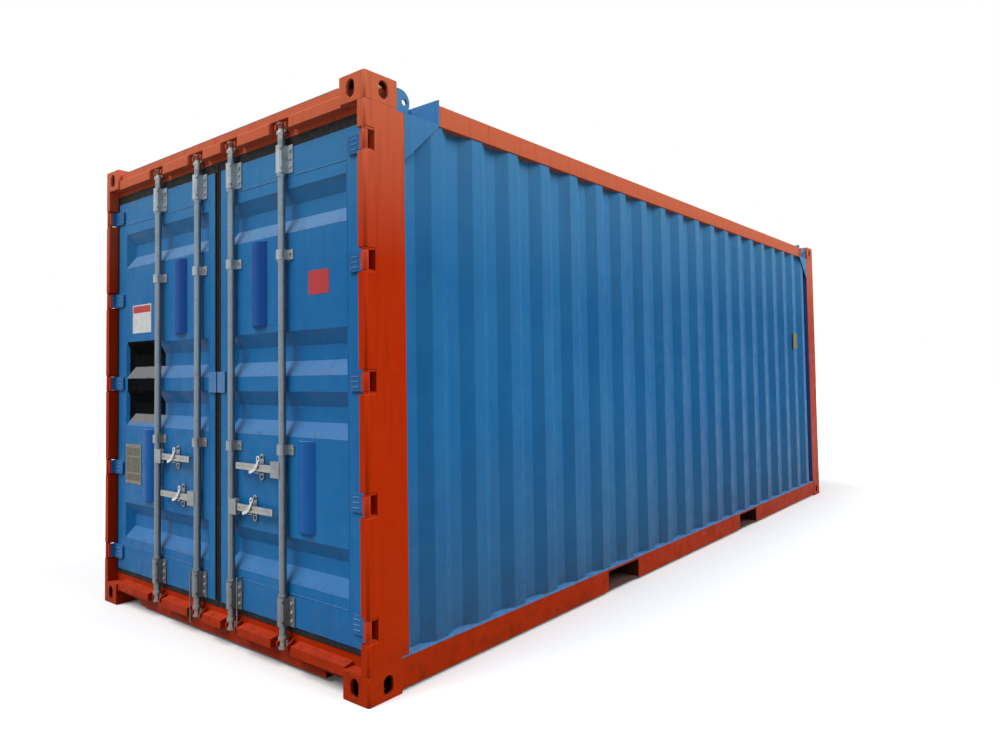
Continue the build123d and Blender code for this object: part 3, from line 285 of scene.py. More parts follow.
    def zone(self, zone: "Zone") -> Socket:
        """1 inside a zone and 0 outside it.

        Args:
            zone: The zone.

        Returns:
            The share.
        """
        x = self.axis("X")
        if not zone.one_side:
            x = self.sums("ABSOLUTE", x, 0.0)
        share = self.times(self.within(x, *zone.x), self.within(self.axis("Z"), *zone.z))
        if zone.faces is not Faces.ALL:
            share = self.times(share, self.facing("Y", 0.02, -0.02))
        if zone.faces is Faces.UP:
            share = self.times(share, self.facing("Z", 0.20, 0.45))
        if zone.y is None:
            return share
        return self.times(share, self.within(self.sums("ABSOLUTE", self.axis("Y"), 0.0), *zone.y))

    def facing(self, axis: str, low: float, high: float) -> Socket:
        """Share that grows as the surface turns along an axis.

        Args:
            axis: The axis.
            low: The normal's part along it where the share is 0.
            high: The normal's part along it where the share is 1.

        Returns:
            The share.
        """
        spot = self.tree.nodes.new("ShaderNodeTexCoord")
        split = self.tree.nodes.new("ShaderNodeSeparateXYZ")
        self.put(split.inputs[0], spot.outputs["Normal"])
        return self.span(split.outputs[axis], low, high)

    def edges(self, reach: float) -> Socket:
        """Share from 0 on flat faces to 1 on sharp edges.

        Args:
            reach: Distance from an edge over which the share falls to 0.

        Returns:
            The share.
        """
        rounded = self.tree.nodes.new("ShaderNodeBevel")
        rounded.samples = 4
        rounded.inputs["Radius"].default_value = reach
        true = self.tree.nodes.new("ShaderNodeNewGeometry")
        dot = self.tree.nodes.new("ShaderNodeVectorMath")
        dot.operation = "DOT_PRODUCT"
        self.put(dot.inputs[0], rounded.outputs["Normal"])
        self.put(dot.inputs[1], true.outputs["True Normal"])
        return self.span(dot.outputs["Value"], 0.995, 0.80)

    def bump(self, *layers: tuple[Socket, float, float]) -> None:
        """Stack bumps on the shader's normal.

        Args:
            layers: A height, a strength and a distance each.
        """
        previous = None
        for heights, strength, distance in layers:
            node = self.tree.nodes.new("ShaderNodeBump")
            node.inputs["Strength"].default_value = strength
            node.inputs["Distance"].default_value = distance
            self.put(node.inputs["Height"], heights)
            if previous is not None:
                self.put(node.inputs["Normal"], previous)
            previous = node.outputs["Normal"]
        self.put(self.shader.inputs["Normal"], previous)


class Faces(Enum):
    """Which faces in a zone are painted."""

    ALL = "all"
    FRONT = "only those that look out of the door end"
    UP = "only those that look out of the door end and up"


@dataclass(frozen=True)
class Zone:
    """A region with a paint of its own.

    Attributes:
        x: Its reach from the middle, or across if it is on one side only.
        z: Its reach in height.
        colour: Its paint.
        one_side: Whether it is on one side only, and not alike on both.
        y: Its reach along from the middle, if it has one.
        metal: How metallic it is, on a metal finish.
        faces: Which of its faces are painted.
        dull: Whether it reflects nothing.
    """

    x: Span
    z: Span
    colour: Colour
    one_side: bool = False
    y: Span | None = None
    metal: float = 0.0
    faces: Faces = Faces.ALL
    dull: bool = False


@dataclass(frozen=True)
class Paint:
    """Weathered paint on steel.

    Attributes:
        name: Name of the material.
        colour: The paint where it is fresh.
        faded: The paint where the sun has faded it.
        grime: The dirt that runs down it.
        wear: Share of the edges where the paint is off.
        streaks: Strength of the runs of dirt.
        gloss: Roughness of clean paint.
        ripple: Depth of the waves in the plate.
        bleached: The paint that it turns to towards the top.
        specular: Strength of its reflections.
        dust: Strength of the pale dust and painted light on faces that look up.
        foot: Strength of the even darkening towards the ground, in the grime's colour.
        zones: Regions in another paint.
    """

    name: str
    colour: Colour
    faded: Colour
    grime: Colour
    wear: float = 0.5
    streaks: float = 0.25
    gloss: float = 0.42
    ripple: float = 0.0015
    bleached: Colour | None = None
    specular: float = 0.14
    dust: float = 0.12
    foot: float = 0.0
    zones: tuple[Zone, ...] = ()

    def weathered(self, g: Graph, cloud: Socket) -> Socket:
        """Fade the paint in patches, and turn it paler towards the top.

        Args:
            g: The material under construction.
            cloud: Where it is faded in patches.

        Returns:
            Its colour.
        """
        worn = g.span(g.noise(1.1, 5.0, 0.6), 0.38, 0.72)
        tone = g.mixed(g.times(worn, 0.7), self.colour, self.faded)
        tone = g.mixed(cloud, tone, self.faded)
        if self.bleached is None:
            return tone
        return g.mixed(g.span(g.height(), 1.8, 2.55, 0.0, 0.8), tone, self.bleached)

    def zoned(self, g: Graph, tone: Socket, cloud: Socket) -> tuple[Socket, object]:
        """Lay the zones' paints over it.

        Args:
            g: The material under construction.
            tone: The colour so far.
            cloud: Where the zones' paints are faded in patches.

        Returns:
            The colour, and the strength of the reflections.
        """
        sheen = self.specular
        for zone in self.zones:
            share = g.zone(zone)
            aged = tuple(0.9 * c + 0.006 for c in zone.colour)
            tone = g.mixed(share, tone, g.mixed(cloud, zone.colour, aged))
            if zone.dull:
                sheen = g.times(g.rest(share), sheen)
        return tone, sheen

    def soiled(self, g: Graph, tone: Socket) -> Socket:
        """Add dust and painted light on faces that look up, runs of dirt, darkening towards the ground,
        and splashes of dirt near it.

        Args:
            g: The material under construction.
            tone: The colour so far.

        Returns:
            The colour.
        """
        # Pale tone on faces that look up, stronger higher up: partly dust, partly painted light.
        patchy = g.span(g.noise(5.0, 6.0, 0.65), 0.3, 0.7, 0.6, 1.0)
        settled = g.times(g.facing("Z", 0.25, 0.9), patchy)
        by_height = g.span(g.height(), 0.5, 2.2, 0.6 * self.dust, 1.5 * self.dust)
        tone = g.mixed(g.times(settled, by_height), tone, PALE_DUST_AND_LIGHT)
        runs = g.span(g.noise(3.2, 5.0, 0.55, (9.0, 9.0, 0.5)), 0.52, 0.78, 0.0, self.streaks)
        tone = g.mixed(runs, tone, self.grime)
        # Darker towards the ground, evenly, in the grime's colour.
        if self.foot:
            tone = g.mixed(g.span(g.height(), 1.1, 0.1, 0.0, self.foot), tone, self.grime)
        splash = g.span(g.noise(14.0, 6.0, 0.7), 0.45, 0.62, 0.05, 0.5)
        return g.mixed(g.times(g.span(g.height(), 0.42, 0.0), splash), tone, self.grime)

    def build(self) -> bpy.types.Material:
        """Make the material.

        Returns:
            The material.
        """
        g = Graph(self.name)
        cloud = g.span(g.noise(7.0, 6.0, 0.6), 0.42, 0.66, 0.0, 0.35)
        tone, sheen = self.zoned(g, self.weathered(g, cloud), cloud)
        tone = self.soiled(g, tone)
        chips = g.span(g.noise(95.0, 3.0, 0.7), 0.70, 0.73, 0.0, self.wear)
        tone = g.mixed(chips, tone, BARE_STEEL)
        rubbed = g.times(g.edges(0.006), g.span(g.noise(22.0, 6.0, 0.75), 0.50, 0.60))
        rubbed = g.times(rubbed, self.wear)
        g.fill("Base Color", g.mixed(rubbed, tone, BARE_STEEL))
        rough = g.span(g.noise(16.0, 5.0), 0.3, 0.7, self.gloss - 0.07, self.gloss + 0.16)
        g.fill("Roughness", g.sums("MAXIMUM", rough, g.times(rubbed, 0.85)))
        g.fill("Specular IOR Level", sheen)
        g.bump((g.noise(3.1, 3.0, 0.5), 0.6, self.ripple), (g.noise(420.0, 2.0), 0.12, 0.0006),
               (g.rest(rubbed), 0.3, 0.0006))
        return g.material


@dataclass(frozen=True)
class Zinc:
    """Galvanised or bare steel.

    Attributes:
        name: Name of the material.
        colour: Its middle grey high up, lighter than near the ground as painted light.
        low: Its grey near the ground.
        rough: Its roughness.
        metal: How metallic it is: old zinc is duller than bare steel.
        grime: Strength of the dirt.
        zones: Regions that are painted.
        shade: Brightness of its darkest crystals, as a share of the others'.
    """

    name: str
    colour: Colour
    low: Colour
    rough: float
    metal: float
    grime: float
    zones: tuple[Zone, ...] = ()
    shade: float = 0.62

    def build(self) -> bpy.types.Material:
        """Make the material.

        Returns:
            The material.
        """
        g = Graph(self.name)
        # The greys lighten with height, from the duller grey near the ground; the lighter tone above is
        # painted light.
        climb = g.span(g.height(), 0.2, 2.3)
        light = g.mixed(climb, self.low, self.colour)
        greys = (tuple(self.shade * c for c in grey) for grey in (self.low, self.colour))
        dark = g.mixed(climb, *greys)
        crystals = g.span(g.cells(150.0), 0.0, 1.0, 0.0, 0.20)
        tone = g.mixed(crystals, light, dark)
        clouds = g.span(g.noise(18.0, 5.0, 0.6), 0.45, 0.68, 0.0, self.grime)
        tone = g.mixed(clouds, tone, OLD_DIRT)
        specks = g.span(g.noise(240.0, 3.0, 0.7), 0.68, 0.74, 0.0, self.grime)
        tone = g.mixed(specks, tone, RUST_SPECK)
        metal = self.metal
        for zone in self.zones:
            share = g.zone(zone)
            tone = g.mixed(share, tone, zone.colour)
            metal = g.sums("ADD", g.times(g.rest(share), metal), g.times(share, zone.metal))
        g.fill("Base Color", tone)
        g.fill("Metallic", metal)
        g.fill("Roughness", g.span(g.noise(60.0), 0.3, 0.7, self.rough - 0.08, self.rough + 0.12))
        g.bump((g.noise(300.0, 3.0), 0.06, 0.0006), (g.noise(30.0, 3.0), 0.08, 0.0008))
        return g.material


@dataclass(frozen=True)
class Rubber:
    """Door seal rubber with dust on it.

    Attributes:
        name: Name of the material.
        colour: The rubber where it is clean.
        dusty: The rubber where dust lies on it.
    """

    name: str = "seal_rubber"
    colour: Colour = linear(9, 10, 12)
    dusty: Colour = linear(46, 46, 48)

    def build(self) -> bpy.types.Material:
        """Make the material.

        Returns:
            The material.
        """
        g = Graph(self.name)
        dust = g.span(g.noise(26.0, 6.0, 0.7), 0.45, 0.75, 0.0, 0.35)
        g.fill("Base Color", g.mixed(dust, self.colour, self.dusty))
        g.fill("Specular IOR Level", 0.2)
        g.fill("Roughness", g.span(g.noise(40.0), 0.3, 0.7, 0.55, 0.85))
        g.bump((g.noise(500.0, 2.0), 0.25, 0.0005), (g.noise(45.0, 3.0), 0.25, 0.001))
        return g.material


@dataclass(frozen=True)
class Plywood:
    """Floor of plywood sheets laid across the container, with grain along them.

    Attributes:
        name: Name of the material.
        dark: The dark lines of the grain.
        light: The wood between them.
        aged: What some sheets have turned to.
        scuffed: What feet and cargo have left.
    """

    name: str = "floor_plywood"
    dark: Colour = linear(126, 84, 50)
    light: Colour = linear(176, 130, 84)
    aged: Colour = linear(110, 72, 44)
    scuffed: Colour = linear(78, 62, 50)

    def build(self) -> bpy.types.Material:
        """Make the material.

        Returns:
            The material.
        """
        g = Graph(self.name)
        grain = g.noise(3.0, 8.0, 0.65, (26.0, 1.4, 26.0))
        tone = g.mixed(g.span(grain, 0.32, 0.70), self.dark, self.light)
        sheets = g.cells(0.82, (0.4, 1.0, 0.0))
        tone = g.mixed(g.span(sheets, 0.0, 1.0, 0.0, 0.35), tone, self.aged)
        scuffs = g.span(g.noise(5.0, 7.0, 0.7, (3.0, 0.6, 3.0)), 0.52, 0.72, 0.0, 0.55)
        g.fill("Base Color", g.mixed(scuffs, tone, self.scuffed))
        g.fill("Roughness", g.span(grain, 0.3, 0.7, 0.45, 0.7))
        g.bump((grain, 0.35, 0.001), (g.noise(180.0, 3.0), 0.15, 0.0006))
        return g.material


@dataclass(frozen=True)
class Plate:
    """A thin blank plate or patch.

    Attributes:
        name: Name of the material.
        colour: Its colour.
        aged: What it turns to in patches.
        rough: Its roughness.
        metal: How metallic it is.
    """

    name: str
    colour: Colour
    aged: Colour
    rough: float = 0.5
    metal: float = 0.0

    def build(self) -> bpy.types.Material:
        """Make the material.

        Returns:
            The material.
        """
        g = Graph(self.name)
        age = g.span(g.noise(24.0, 6.0, 0.7), 0.45, 0.68, 0.0, 0.6)
        tone = g.mixed(age, self.colour, self.aged)
        runs = g.span(g.noise(8.0, 5.0, 0.6, (9.0, 9.0, 1.0)), 0.5, 0.8, 0.0, 0.4)
        g.fill("Base Color", g.mixed(runs, tone, self.aged))
        g.fill("Metallic", self.metal)
        g.fill("Roughness", g.span(g.noise(70.0), 0.3, 0.7, self.rough, self.rough + 0.2))
        g.bump((g.noise(260.0, 2.0), 0.15, 0.0005),)
        return g.material


class Mesh:
    """A piece under construction in bmesh, made an object that rides on a body."""

    def __init__(self, name: str) -> None:
        """Start an empty piece.

        Args:
            name: Name of the piece.
        """
        self.name = name
        self.bm = bmesh.new()

    def block(self, low: Sequence[float], high: Sequence[float], bevel: float = 0.0) -> None:
        """Add a plate between two corners.

        Args:
            low: One corner.
            high: The corner across from it.
            bevel: How far its edges are rounded, if they are.
        """
        middle = (Vector(low) + Vector(high)) / 2
        size = [abs(a - b) for a, b in zip(low, high)]
        place = Matrix.Translation(middle) @ Matrix.Diagonal((*size, 1.0))
        made = bmesh.ops.create_cube(self.bm, size=1.0, matrix=place)
        if bevel:
            edges = list({e for v in made["verts"] for e in v.link_edges})
            bmesh.ops.bevel(self.bm, geom=edges, offset=bevel, segments=2, profile=0.5, affect="EDGES",
                            material=-1, clamp_overlap=True)

    def disc(self, middle: Sequence[float], towards: Sequence[float], radius: float, depth: float,
             sides: int = 20, top: float | None = None) -> None:
        """Add a round or many-sided boss that stands on a point.

        Args:
            middle: Centre of its foot.
            towards: The way it stands.
            radius: Radius of its foot.
            depth: Its height.
            sides: Number of sides.
            top: Radius of its top, if it tapers.
        """
        turn = Vector((0, 0, 1)).rotation_difference(Vector(towards)).to_matrix().to_4x4()
        centre = Vector(middle) + Vector(towards).normalized() * depth / 2
        bmesh.ops.create_cone(self.bm, cap_ends=True, cap_tris=False, segments=sides, radius1=radius,
                              radius2=radius if top is None else top, depth=depth,
                              matrix=Matrix.Translation(centre) @ turn)

    def bolt(self, middle: Sequence[float], towards: Sequence[float], width: float,
             washer: float = 0.002) -> None:
        """Add a hexagon bolt head with its washer.

        Args:
            middle: Centre of its foot.
            towards: The way it stands.
            width: Width of the head across its corners.
            washer: Thickness of the washer.
        """
        way = Vector(towards).normalized()
        head = Vector(middle) + way * washer
        crown = head + way * width * 0.24
        self.disc(middle, way, width * 0.66, washer)
        self.disc(head, way, width * 0.5, width * 0.24, 6)
        self.disc(crown, way, width * 0.5, width * 0.08, 6, width * 0.38)

    def rivet(self, middle: Sequence[float], towards: Sequence[float], radius: float) -> None:
        """Add a domed rivet head.

        Args:
            middle: Centre of its foot.
            towards: The way it stands.
            radius: Its radius.
        """
        way = Vector(towards).normalized()
        self.disc(middle, way, radius, radius * 0.35, 14)
        self.disc(Vector(middle) + way * radius * 0.35, way, radius, radius * 0.3, 14, radius * 0.55)

    def bead(self, start: Sequence[float], end: Sequence[float], radius: float,
             pitch: float = 0.03) -> None:
        """Add a weld bead along a straight seam, with the swell of each run of weld.

        Args:
            start: One end of the seam.
            end: The other end.
            radius: Radius of the bead, half of it sunk in the seam.
            pitch: Length of one swell.
        """
        a = Vector(start)
        b = Vector(end)
        length = (b - a).length
        steps = max(2, int(length / pitch * 2))
        turn = Vector((0, 0, 1)).rotation_difference(b - a).to_matrix().to_4x4()
        place = Matrix.Translation(a) @ turn
        made = bmesh.ops.create_circle(self.bm, cap_ends=False, segments=6, radius=radius, matrix=place)
        edges = list({e for v in made["verts"] for e in v.link_edges})
        shift = (b - a) / steps
        centre = a.copy()
        for step in range(steps):
            made = bmesh.ops.extrude_edge_only(self.bm, edges=edges)["geom"]
            verts = [v for v in made if isinstance(v, bmesh.types.BMVert)]
            edges = [e for e in made if isinstance(e, bmesh.types.BMEdge)]
            bmesh.ops.translate(self.bm, verts=verts, vec=shift)
            centre += shift
            swell = 0.84 if step % 2 else 1.0 / 0.84
            bmesh.ops.scale(self.bm, verts=verts, vec=(swell,) * 3, space=Matrix.Translation(-centre))
        bmesh.ops.holes_fill(self.bm, edges=[e for e in self.bm.edges if e.is_boundary], sides=8)

    def finish(self, finish: bpy.types.Material, body: str, slot: str,
               smooth: float | None = None) -> None:
        """Turn the bmesh into an object and let it ride.

        Args:
            finish: Its material.
            body: The CAD body that it moves with.
            slot: Not used.
            smooth: Angle in degrees under which edges are shaded smooth.
        """
        bmesh.ops.recalc_face_normals(self.bm, faces=self.bm.faces[:])
        data = bpy.data.meshes.new(self.name)
        self.bm.to_mesh(data)
        self.bm.free()
        piece = bpy.data.objects.new(self.name, data)
        bpy.context.scene.collection.objects.link(piece)
        data.materials.append(finish)
        if smooth is not None:
            data.shade_smooth()
            data.set_sharp_from_angle(angle=math.radians(smooth))
        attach(piece, body)
        LOG.info("%s: %d faces, rides on %s", self.name, len(data.polygons), body)


# Painted shade on the upright ribs' front faces: a deeper blue, darker still on the upper pair.
RIB_SHADE = (
    Zone((0.315, 0.447), (1.573, 1.977), linear(12, 74, 150), faces=Faces.FRONT),
    Zone((0.686, 0.818), (0.632, 1.037), linear(20, 94, 168), faces=Faces.FRONT),
)
# Black patch on the left leaf, and the light on its slopes that look up.
FILM = (
    Zone((-1.024, -0.628), (1.072, 1.549), linear(20, 22, 25), True, faces=Faces.FRONT, dull=True),
    Zone((-1.024, -0.628), (1.072, 1.549), linear(112, 112, 115), True, faces=Faces.UP),
)
# Near-black middle edges of the leaves, under the seal between them: painted shade in the gap.
GAP_SHADE = Zone((0.0, 0.0225), (0.1, 2.5), linear(10, 11, 13))
# Seam plate's halves, painted like the leaves.
SEAM_PLATE = Zone((0.0, 0.080), (1.24, 1.37), linear(36, 106, 164))
# Ends of the hinge blades in the posts, painted like the posts.
KNUCKLES = (
    Zone((1.1735, 1.3), (0.1, 1.6), linear(188, 45, 0)),
    Zone((1.1735, 1.3), (1.6, 2.1), linear(192, 62, 24)),
    Zone((1.1735, 1.3), (2.1, 2.5), linear(190, 76, 46)),
)
# Blue overspray on the ledge of the bottom rails, paler there as painted highlight, and on the closed
# end's posts.
LEDGE = (Zone((1.10, 1.2200), (0.1410, 0.1515), linear(66, 138, 194)),)
WALL_EDGE = (Zone((1.10, 1.2165), (0.15, 2.43), linear(70, 106, 160), faces=Faces.FRONT),)
# Worn cams at the rods' ends.
CAMS = (
    Zone((0.0, 2.0), (0.0, 0.16), linear(136, 129, 122), metal=0.5),
    Zone((0.0, 2.0), (2.43, 2.6), linear(158, 157, 154), metal=0.75),
    Zone((0.0, 2.0), (2.478, 2.6), linear(132, 76, 62), metal=0.2),
)
# Painted shade inside the castings: near black in the bottom ones, and in the top ones a dark brown
# that is partly their rust.
HOLLOW_SHADE = (
    Zone((1.07, 1.207), (0.012, 0.106), linear(12, 8, 6), y=(2.864, 3.017)),
    Zone((1.07, 1.207), (2.485, 2.579), linear(104, 46, 32), y=(2.864, 3.017)),
)
RED = linear(188, 45, 0)
FADED_RED = linear(198, 58, 10)
PALE_RED = linear(220, 118, 84)
BLUE = linear(17, 106, 170)
FADED_BLUE = linear(36, 118, 178)
PALE_BLUE = linear(70, 138, 186)
FINISHES = (
    Paint("door_blue", BLUE, FADED_BLUE, SOOT, 0.35, 0.18, bleached=PALE_BLUE, specular=0.10,
          dust=0.42, zones=(*RIB_SHADE, *FILM, GAP_SHADE)),
    Paint("side_blue", linear(18, 104, 164), linear(38, 120, 174), SOOT, 0.25, 0.2, ripple=0.003,
          bleached=PALE_BLUE, foot=0.42),
    Paint("roof_blue", linear(70, 124, 166), linear(112, 150, 176), SOOT, 0.5, 0.3),
    Paint("fitting_blue", linear(24, 100, 162), FADED_BLUE, SOOT, 0.6, 0.2, bleached=PALE_BLUE),
    # Paler blue of the hinge ridges: painted highlight.
    Paint("ridge_blue", linear(76, 132, 180), linear(100, 150, 190), SOOT, 0.3, 0.2),
    Paint("hinge_blue", linear(24, 96, 156), FADED_BLUE, SOOT, 0.6, 0.2, zones=KNUCKLES),
    Paint("frame_red", RED, FADED_RED, RUST, 0.5, 0.28, bleached=PALE_RED, specular=0.04,
          dust=0.06, foot=0.15),
    Paint("casting_red", RED, FADED_RED, RUST, 0.6, 0.3, bleached=PALE_RED, specular=0.04,
          dust=0.06, foot=0.15, zones=HOLLOW_SHADE),
    # The closed end's red, darker and browner than the frame's: painted shade.
    Paint("closed_end_red", linear(172, 50, 20), linear(182, 64, 32), RUST, 0.5, 0.3,
          bleached=PALE_RED, specular=0.04, dust=0.06, zones=WALL_EDGE),
    # The rails' red, darker than the frame's: painted shade.
    Paint("rail_red", linear(168, 42, 4), linear(178, 52, 10), RUST, 0.5, 0.28, specular=0.04,
          dust=0.06, zones=LEDGE),
    Paint("underframe", linear(70, 34, 26), linear(88, 52, 40), linear(34, 28, 26), 0.6, 0.4, 0.6),
    Zinc("galvanised", linear(138, 156, 168), linear(112, 119, 123), 0.33, 0.52, 0.22, CAMS),
    Zinc("bracket_zinc", linear(180, 192, 200), linear(114, 119, 122), 0.40, 0.38, 0.36,
         (SEAM_PLATE,)),
    Zinc("bright_steel", linear(196, 196, 194), linear(186, 186, 184), 0.28, 0.85, 0.15),
    Zinc("handle_steel", linear(168, 168, 166), linear(160, 160, 158), 0.40, 0.40, 0.30),
    Rubber(),
    Plywood(),
    Plate("blank_sheet", linear(220, 221, 222), linear(186, 186, 182), 0.5),
    Plate("blank_red", linear(182, 26, 34), linear(164, 44, 46), 0.45),
    Plate("blank_metal", linear(118, 112, 94), linear(84, 80, 68), 0.4, 0.35),
    Plate("bronze_field", linear(80, 76, 66), linear(104, 98, 84), 0.45, 0.35),
    # Near-black discs on the rivets: painted shade for their holes.
    Plate("dark_hole", linear(10, 10, 11), linear(22, 20, 18), 0.8),
    Plate("blank_tan", linear(116, 104, 58), linear(64, 60, 40), 0.5),
)


@dataclass
class Palette:
    """Every finish of the container, made once.

    Attributes:
        made: The materials by name.
    """

    made: dict[str, bpy.types.Material] = field(default_factory=dict)

    def __post_init__(self) -> None:
        """Build the materials."""
        for finish in FINISHES:
            self.made[finish.name] = finish.build()

    def __getitem__(self, name: str) -> bpy.types.Material:
        """The material of that name."""
        return self.made[name]


def pair(part: str) -> tuple[str, ...]:
    """Names of a part's nodes on the two door leaves."""
    return tuple(f"{side.word}_{part}" for side in Side)


def four(part: str) -> tuple[str, ...]:
    """Names of a part's nodes on the four lock rods."""
    return tuple(f"{side.word}_{place}_{part}" for side in Side for place in ("outer", "inner"))


@dataclass
class Frame:
    """The CAD's own nodes, dressed in their finishes with their edges rounded.

    Attributes:
        nodes: The CAD's objects by name.
        palette: The finishes.
        finishes: Names of the nodes by finish.
        rounding: Names of the nodes by the width of their rounded edges.
        segments: Number of faces across a rounded edge.
        crease: Angle in degrees past which an edge is rounded.
        join: Distance under which the loose triangles' corners are one.
    """

    nodes: dict[str, bpy.types.Object]
    palette: Palette
    finishes: dict[str, tuple[str, ...]] = field(default_factory=lambda: {
        "frame_red": ("door_posts", "door_header", "header_lintel", "door_sill",
                      "guard_bars", "front_rails", "top_side_rails", "hinge_lugs", "cam_keepers"),
        "casting_red": ("bottom_corner_castings", "top_corner_castings"),
        "closed_end_red": ("front_corner_posts",),
        "rail_red": ("bottom_side_rails",),
        "side_blue": ("side_walls", "front_wall"),
        "roof_blue": ("roof",),
        "fitting_blue": ("corner_plates",),
        "hinge_blue": pair("hinge_blades"),
        "door_blue": (*pair("door_frame"), *pair("door_panel")),
        "seal_rubber": pair("door_gasket"),
        "floor_plywood": ("floor",),
        "underframe": ("forklift_pockets", "cross_members"),
        "galvanised": four("lock_rod"),
        "bracket_zinc": (*pair("lock_brackets"), *pair("handle_rests"), *four("rod_hub")),
        "handle_steel": four("handle"),
        "bright_steel": four("catch"),
    })
    rounding: dict[float, tuple[str, ...]] = field(default_factory=lambda: {
        0.004: ("bottom_corner_castings", "top_corner_castings", "top_side_rails", "front_rails"),
        0.003: ("front_corner_posts", "door_posts", "guard_bars"),
        0.0025: pair("door_frame"),
        0.002: ("door_header", "header_lintel", "door_sill", "cam_keepers", "bottom_side_rails",
                *four("rod_hub")),
        0.0015: ("hinge_lugs", *pair("hinge_blades"), *pair("handle_rests"), *four("handle")),
        0.001: (*pair("lock_brackets"), *four("catch"), *four("lock_rod")),
    })
    segments: int = 2
    crease: float = 40.0
    join: float = 0.00002

    def round_edges(self, name: str, width: float) -> None:
        """Round a node's sharp edges.

        Args:
            name: Name of the node.
            width: Width of the rounded edge.
        """
        node = self.nodes[name]
        weld = node.modifiers.new("join", "WELD")
        weld.merge_threshold = self.join
        bevel = node.modifiers.new("round", "BEVEL")
        bevel.width = width
        bevel.segments = self.segments
        bevel.limit_method = "ANGLE"
        bevel.angle_limit = math.radians(self.crease)
        bevel.harden_normals = True

    def dress(self) -> None:
        """Give each node its material and, where it is thick, rounded edges."""
        for finish, names in self.finishes.items():
            for name in names:
                data = self.nodes[name].data
                data.materials.clear()
                data.materials.append(self.palette[finish])
                LOG.info("%s: dressed in %s", name, finish)
        for width, names in self.rounding.items():
            for name in names:
                self.round_edges(name, width)


@dataclass
class LockGear:
    """Bolts and other small parts of the lock rods' brackets on one leaf.

    Attributes:
        side: Which leaf.
        palette: The finishes.
        rods: Where the rods stand, from the middle.
        spans: The brackets' feet and heads.
        long_span: Height past which a bracket is bolted and not riveted.
        bolt_reach: How far the fixings are from the rod's axis.
        bolt_pitch: Distance of one bolt to the next.
        bolt_width: Width of a bolt head across its corners.
        rivet: Radius, height and upper radius of a hollow rivet.
        hole: Radius and depth of the near-black disc on its top, painted shade for its hole.
        plate_face: Face of the brackets' plates, along Y.
    """

    side: Side
    palette: Palette
    rods: tuple[float, float] = (0.598, 0.165)
    spans: tuple[Span, ...] = ((0.198, 0.328), (0.970, 1.016), (1.867, 1.913), (2.270, 2.400))
    long_span: float = 0.08
    bolt_reach: float = 0.046
    bolt_pitch: float = 0.038
    bolt_width: float = 0.015
    rivet: tuple[float, float, float] = (0.0105, 0.003, 0.0092)
    hole: tuple[float, float] = (0.0058, 0.0003)
    plate_face: float = LEAF_FACE - 0.006

    def build(self) -> None:
        """Make bolts on the long end brackets, and hollow rivets on the short ones."""
        bolts = Mesh(f"{self.side.word}_bracket_bolts")
        hole_shades = Mesh(f"{self.side.word}_rivet_holes")
        radius, height, top = self.rivet
        for rod in self.rods:
            for low, high in self.spans:
                for way in (-1, 1):
                    x = self.side.value * rod + way * self.bolt_reach
                    middle = Vector((x, self.plate_face, (low + high) / 2))
                    if high - low > self.long_span:
                        for row in (-1, 0, 1):
                            spot = middle + Vector((0, 0, row * self.bolt_pitch))
                            bolts.bolt(spot, OUTWARDS, self.bolt_width)
                    else:
                        bolts.disc(middle, OUTWARDS, radius, height, top=top)
                        # A near-black disc on each rivet's top: painted shade for its hollow.
                        hole_shades.disc(middle + height * Vector(OUTWARDS), OUTWARDS, *self.hole, 16)
        body = f"{self.side.word}_door"
        bolts.finish(self.palette["handle_steel"], body, "galvanised")
        hole_shades.finish(self.palette["dark_hole"], body, "seal_black")


@dataclass(frozen=True)
class Patch:
    """A thin blank plate on the face of a leaf.

    Attributes:
        name: Name of the piece.
        finish: Its finish.
        slot: Name of a material slot, handed on when it is made.
        x: Its reach across.
        z: Its reach in height.
        thick: How far it stands out.
    """

    name: str
    finish: str
    slot: str
    x: Span
    z: Span
    thick: float

    def build(self, palette: Palette, body: str) -> None:
        """Fix it on the leaf.

        Args:
            palette: The finishes.
            body: The leaf's body.
        """
        plate = Mesh(self.name)
        low = (self.x[0], LEAF_FACE - self.thick, self.z[0])
        high = (self.x[1], LEAF_FACE + SUNK, self.z[1])
        plate.block(low, high, min(0.0008, self.thick * 0.4))
        plate.finish(palette[self.finish], body, self.slot)


PATCHES = {
    Side.RIGHT: (
        Patch("red_patch", "blank_red", "keeper_red", (0.772, 0.918), (1.692, 1.800), 0.0012),
    ),
    Side.LEFT: (
        Patch("pale_patch", "blank_sheet", "bright_steel", (-0.958, -0.728), (1.596, 1.762), 0.0012),
        Patch("pale_patch_band", "blank_red", "keeper_red", (-0.950, -0.736), (1.715, 1.755), 0.0018),
        Patch("data_plate", "blank_metal", "bright_steel", (-1.036, -0.844), (0.712, 0.944), 0.003),
    ),
}


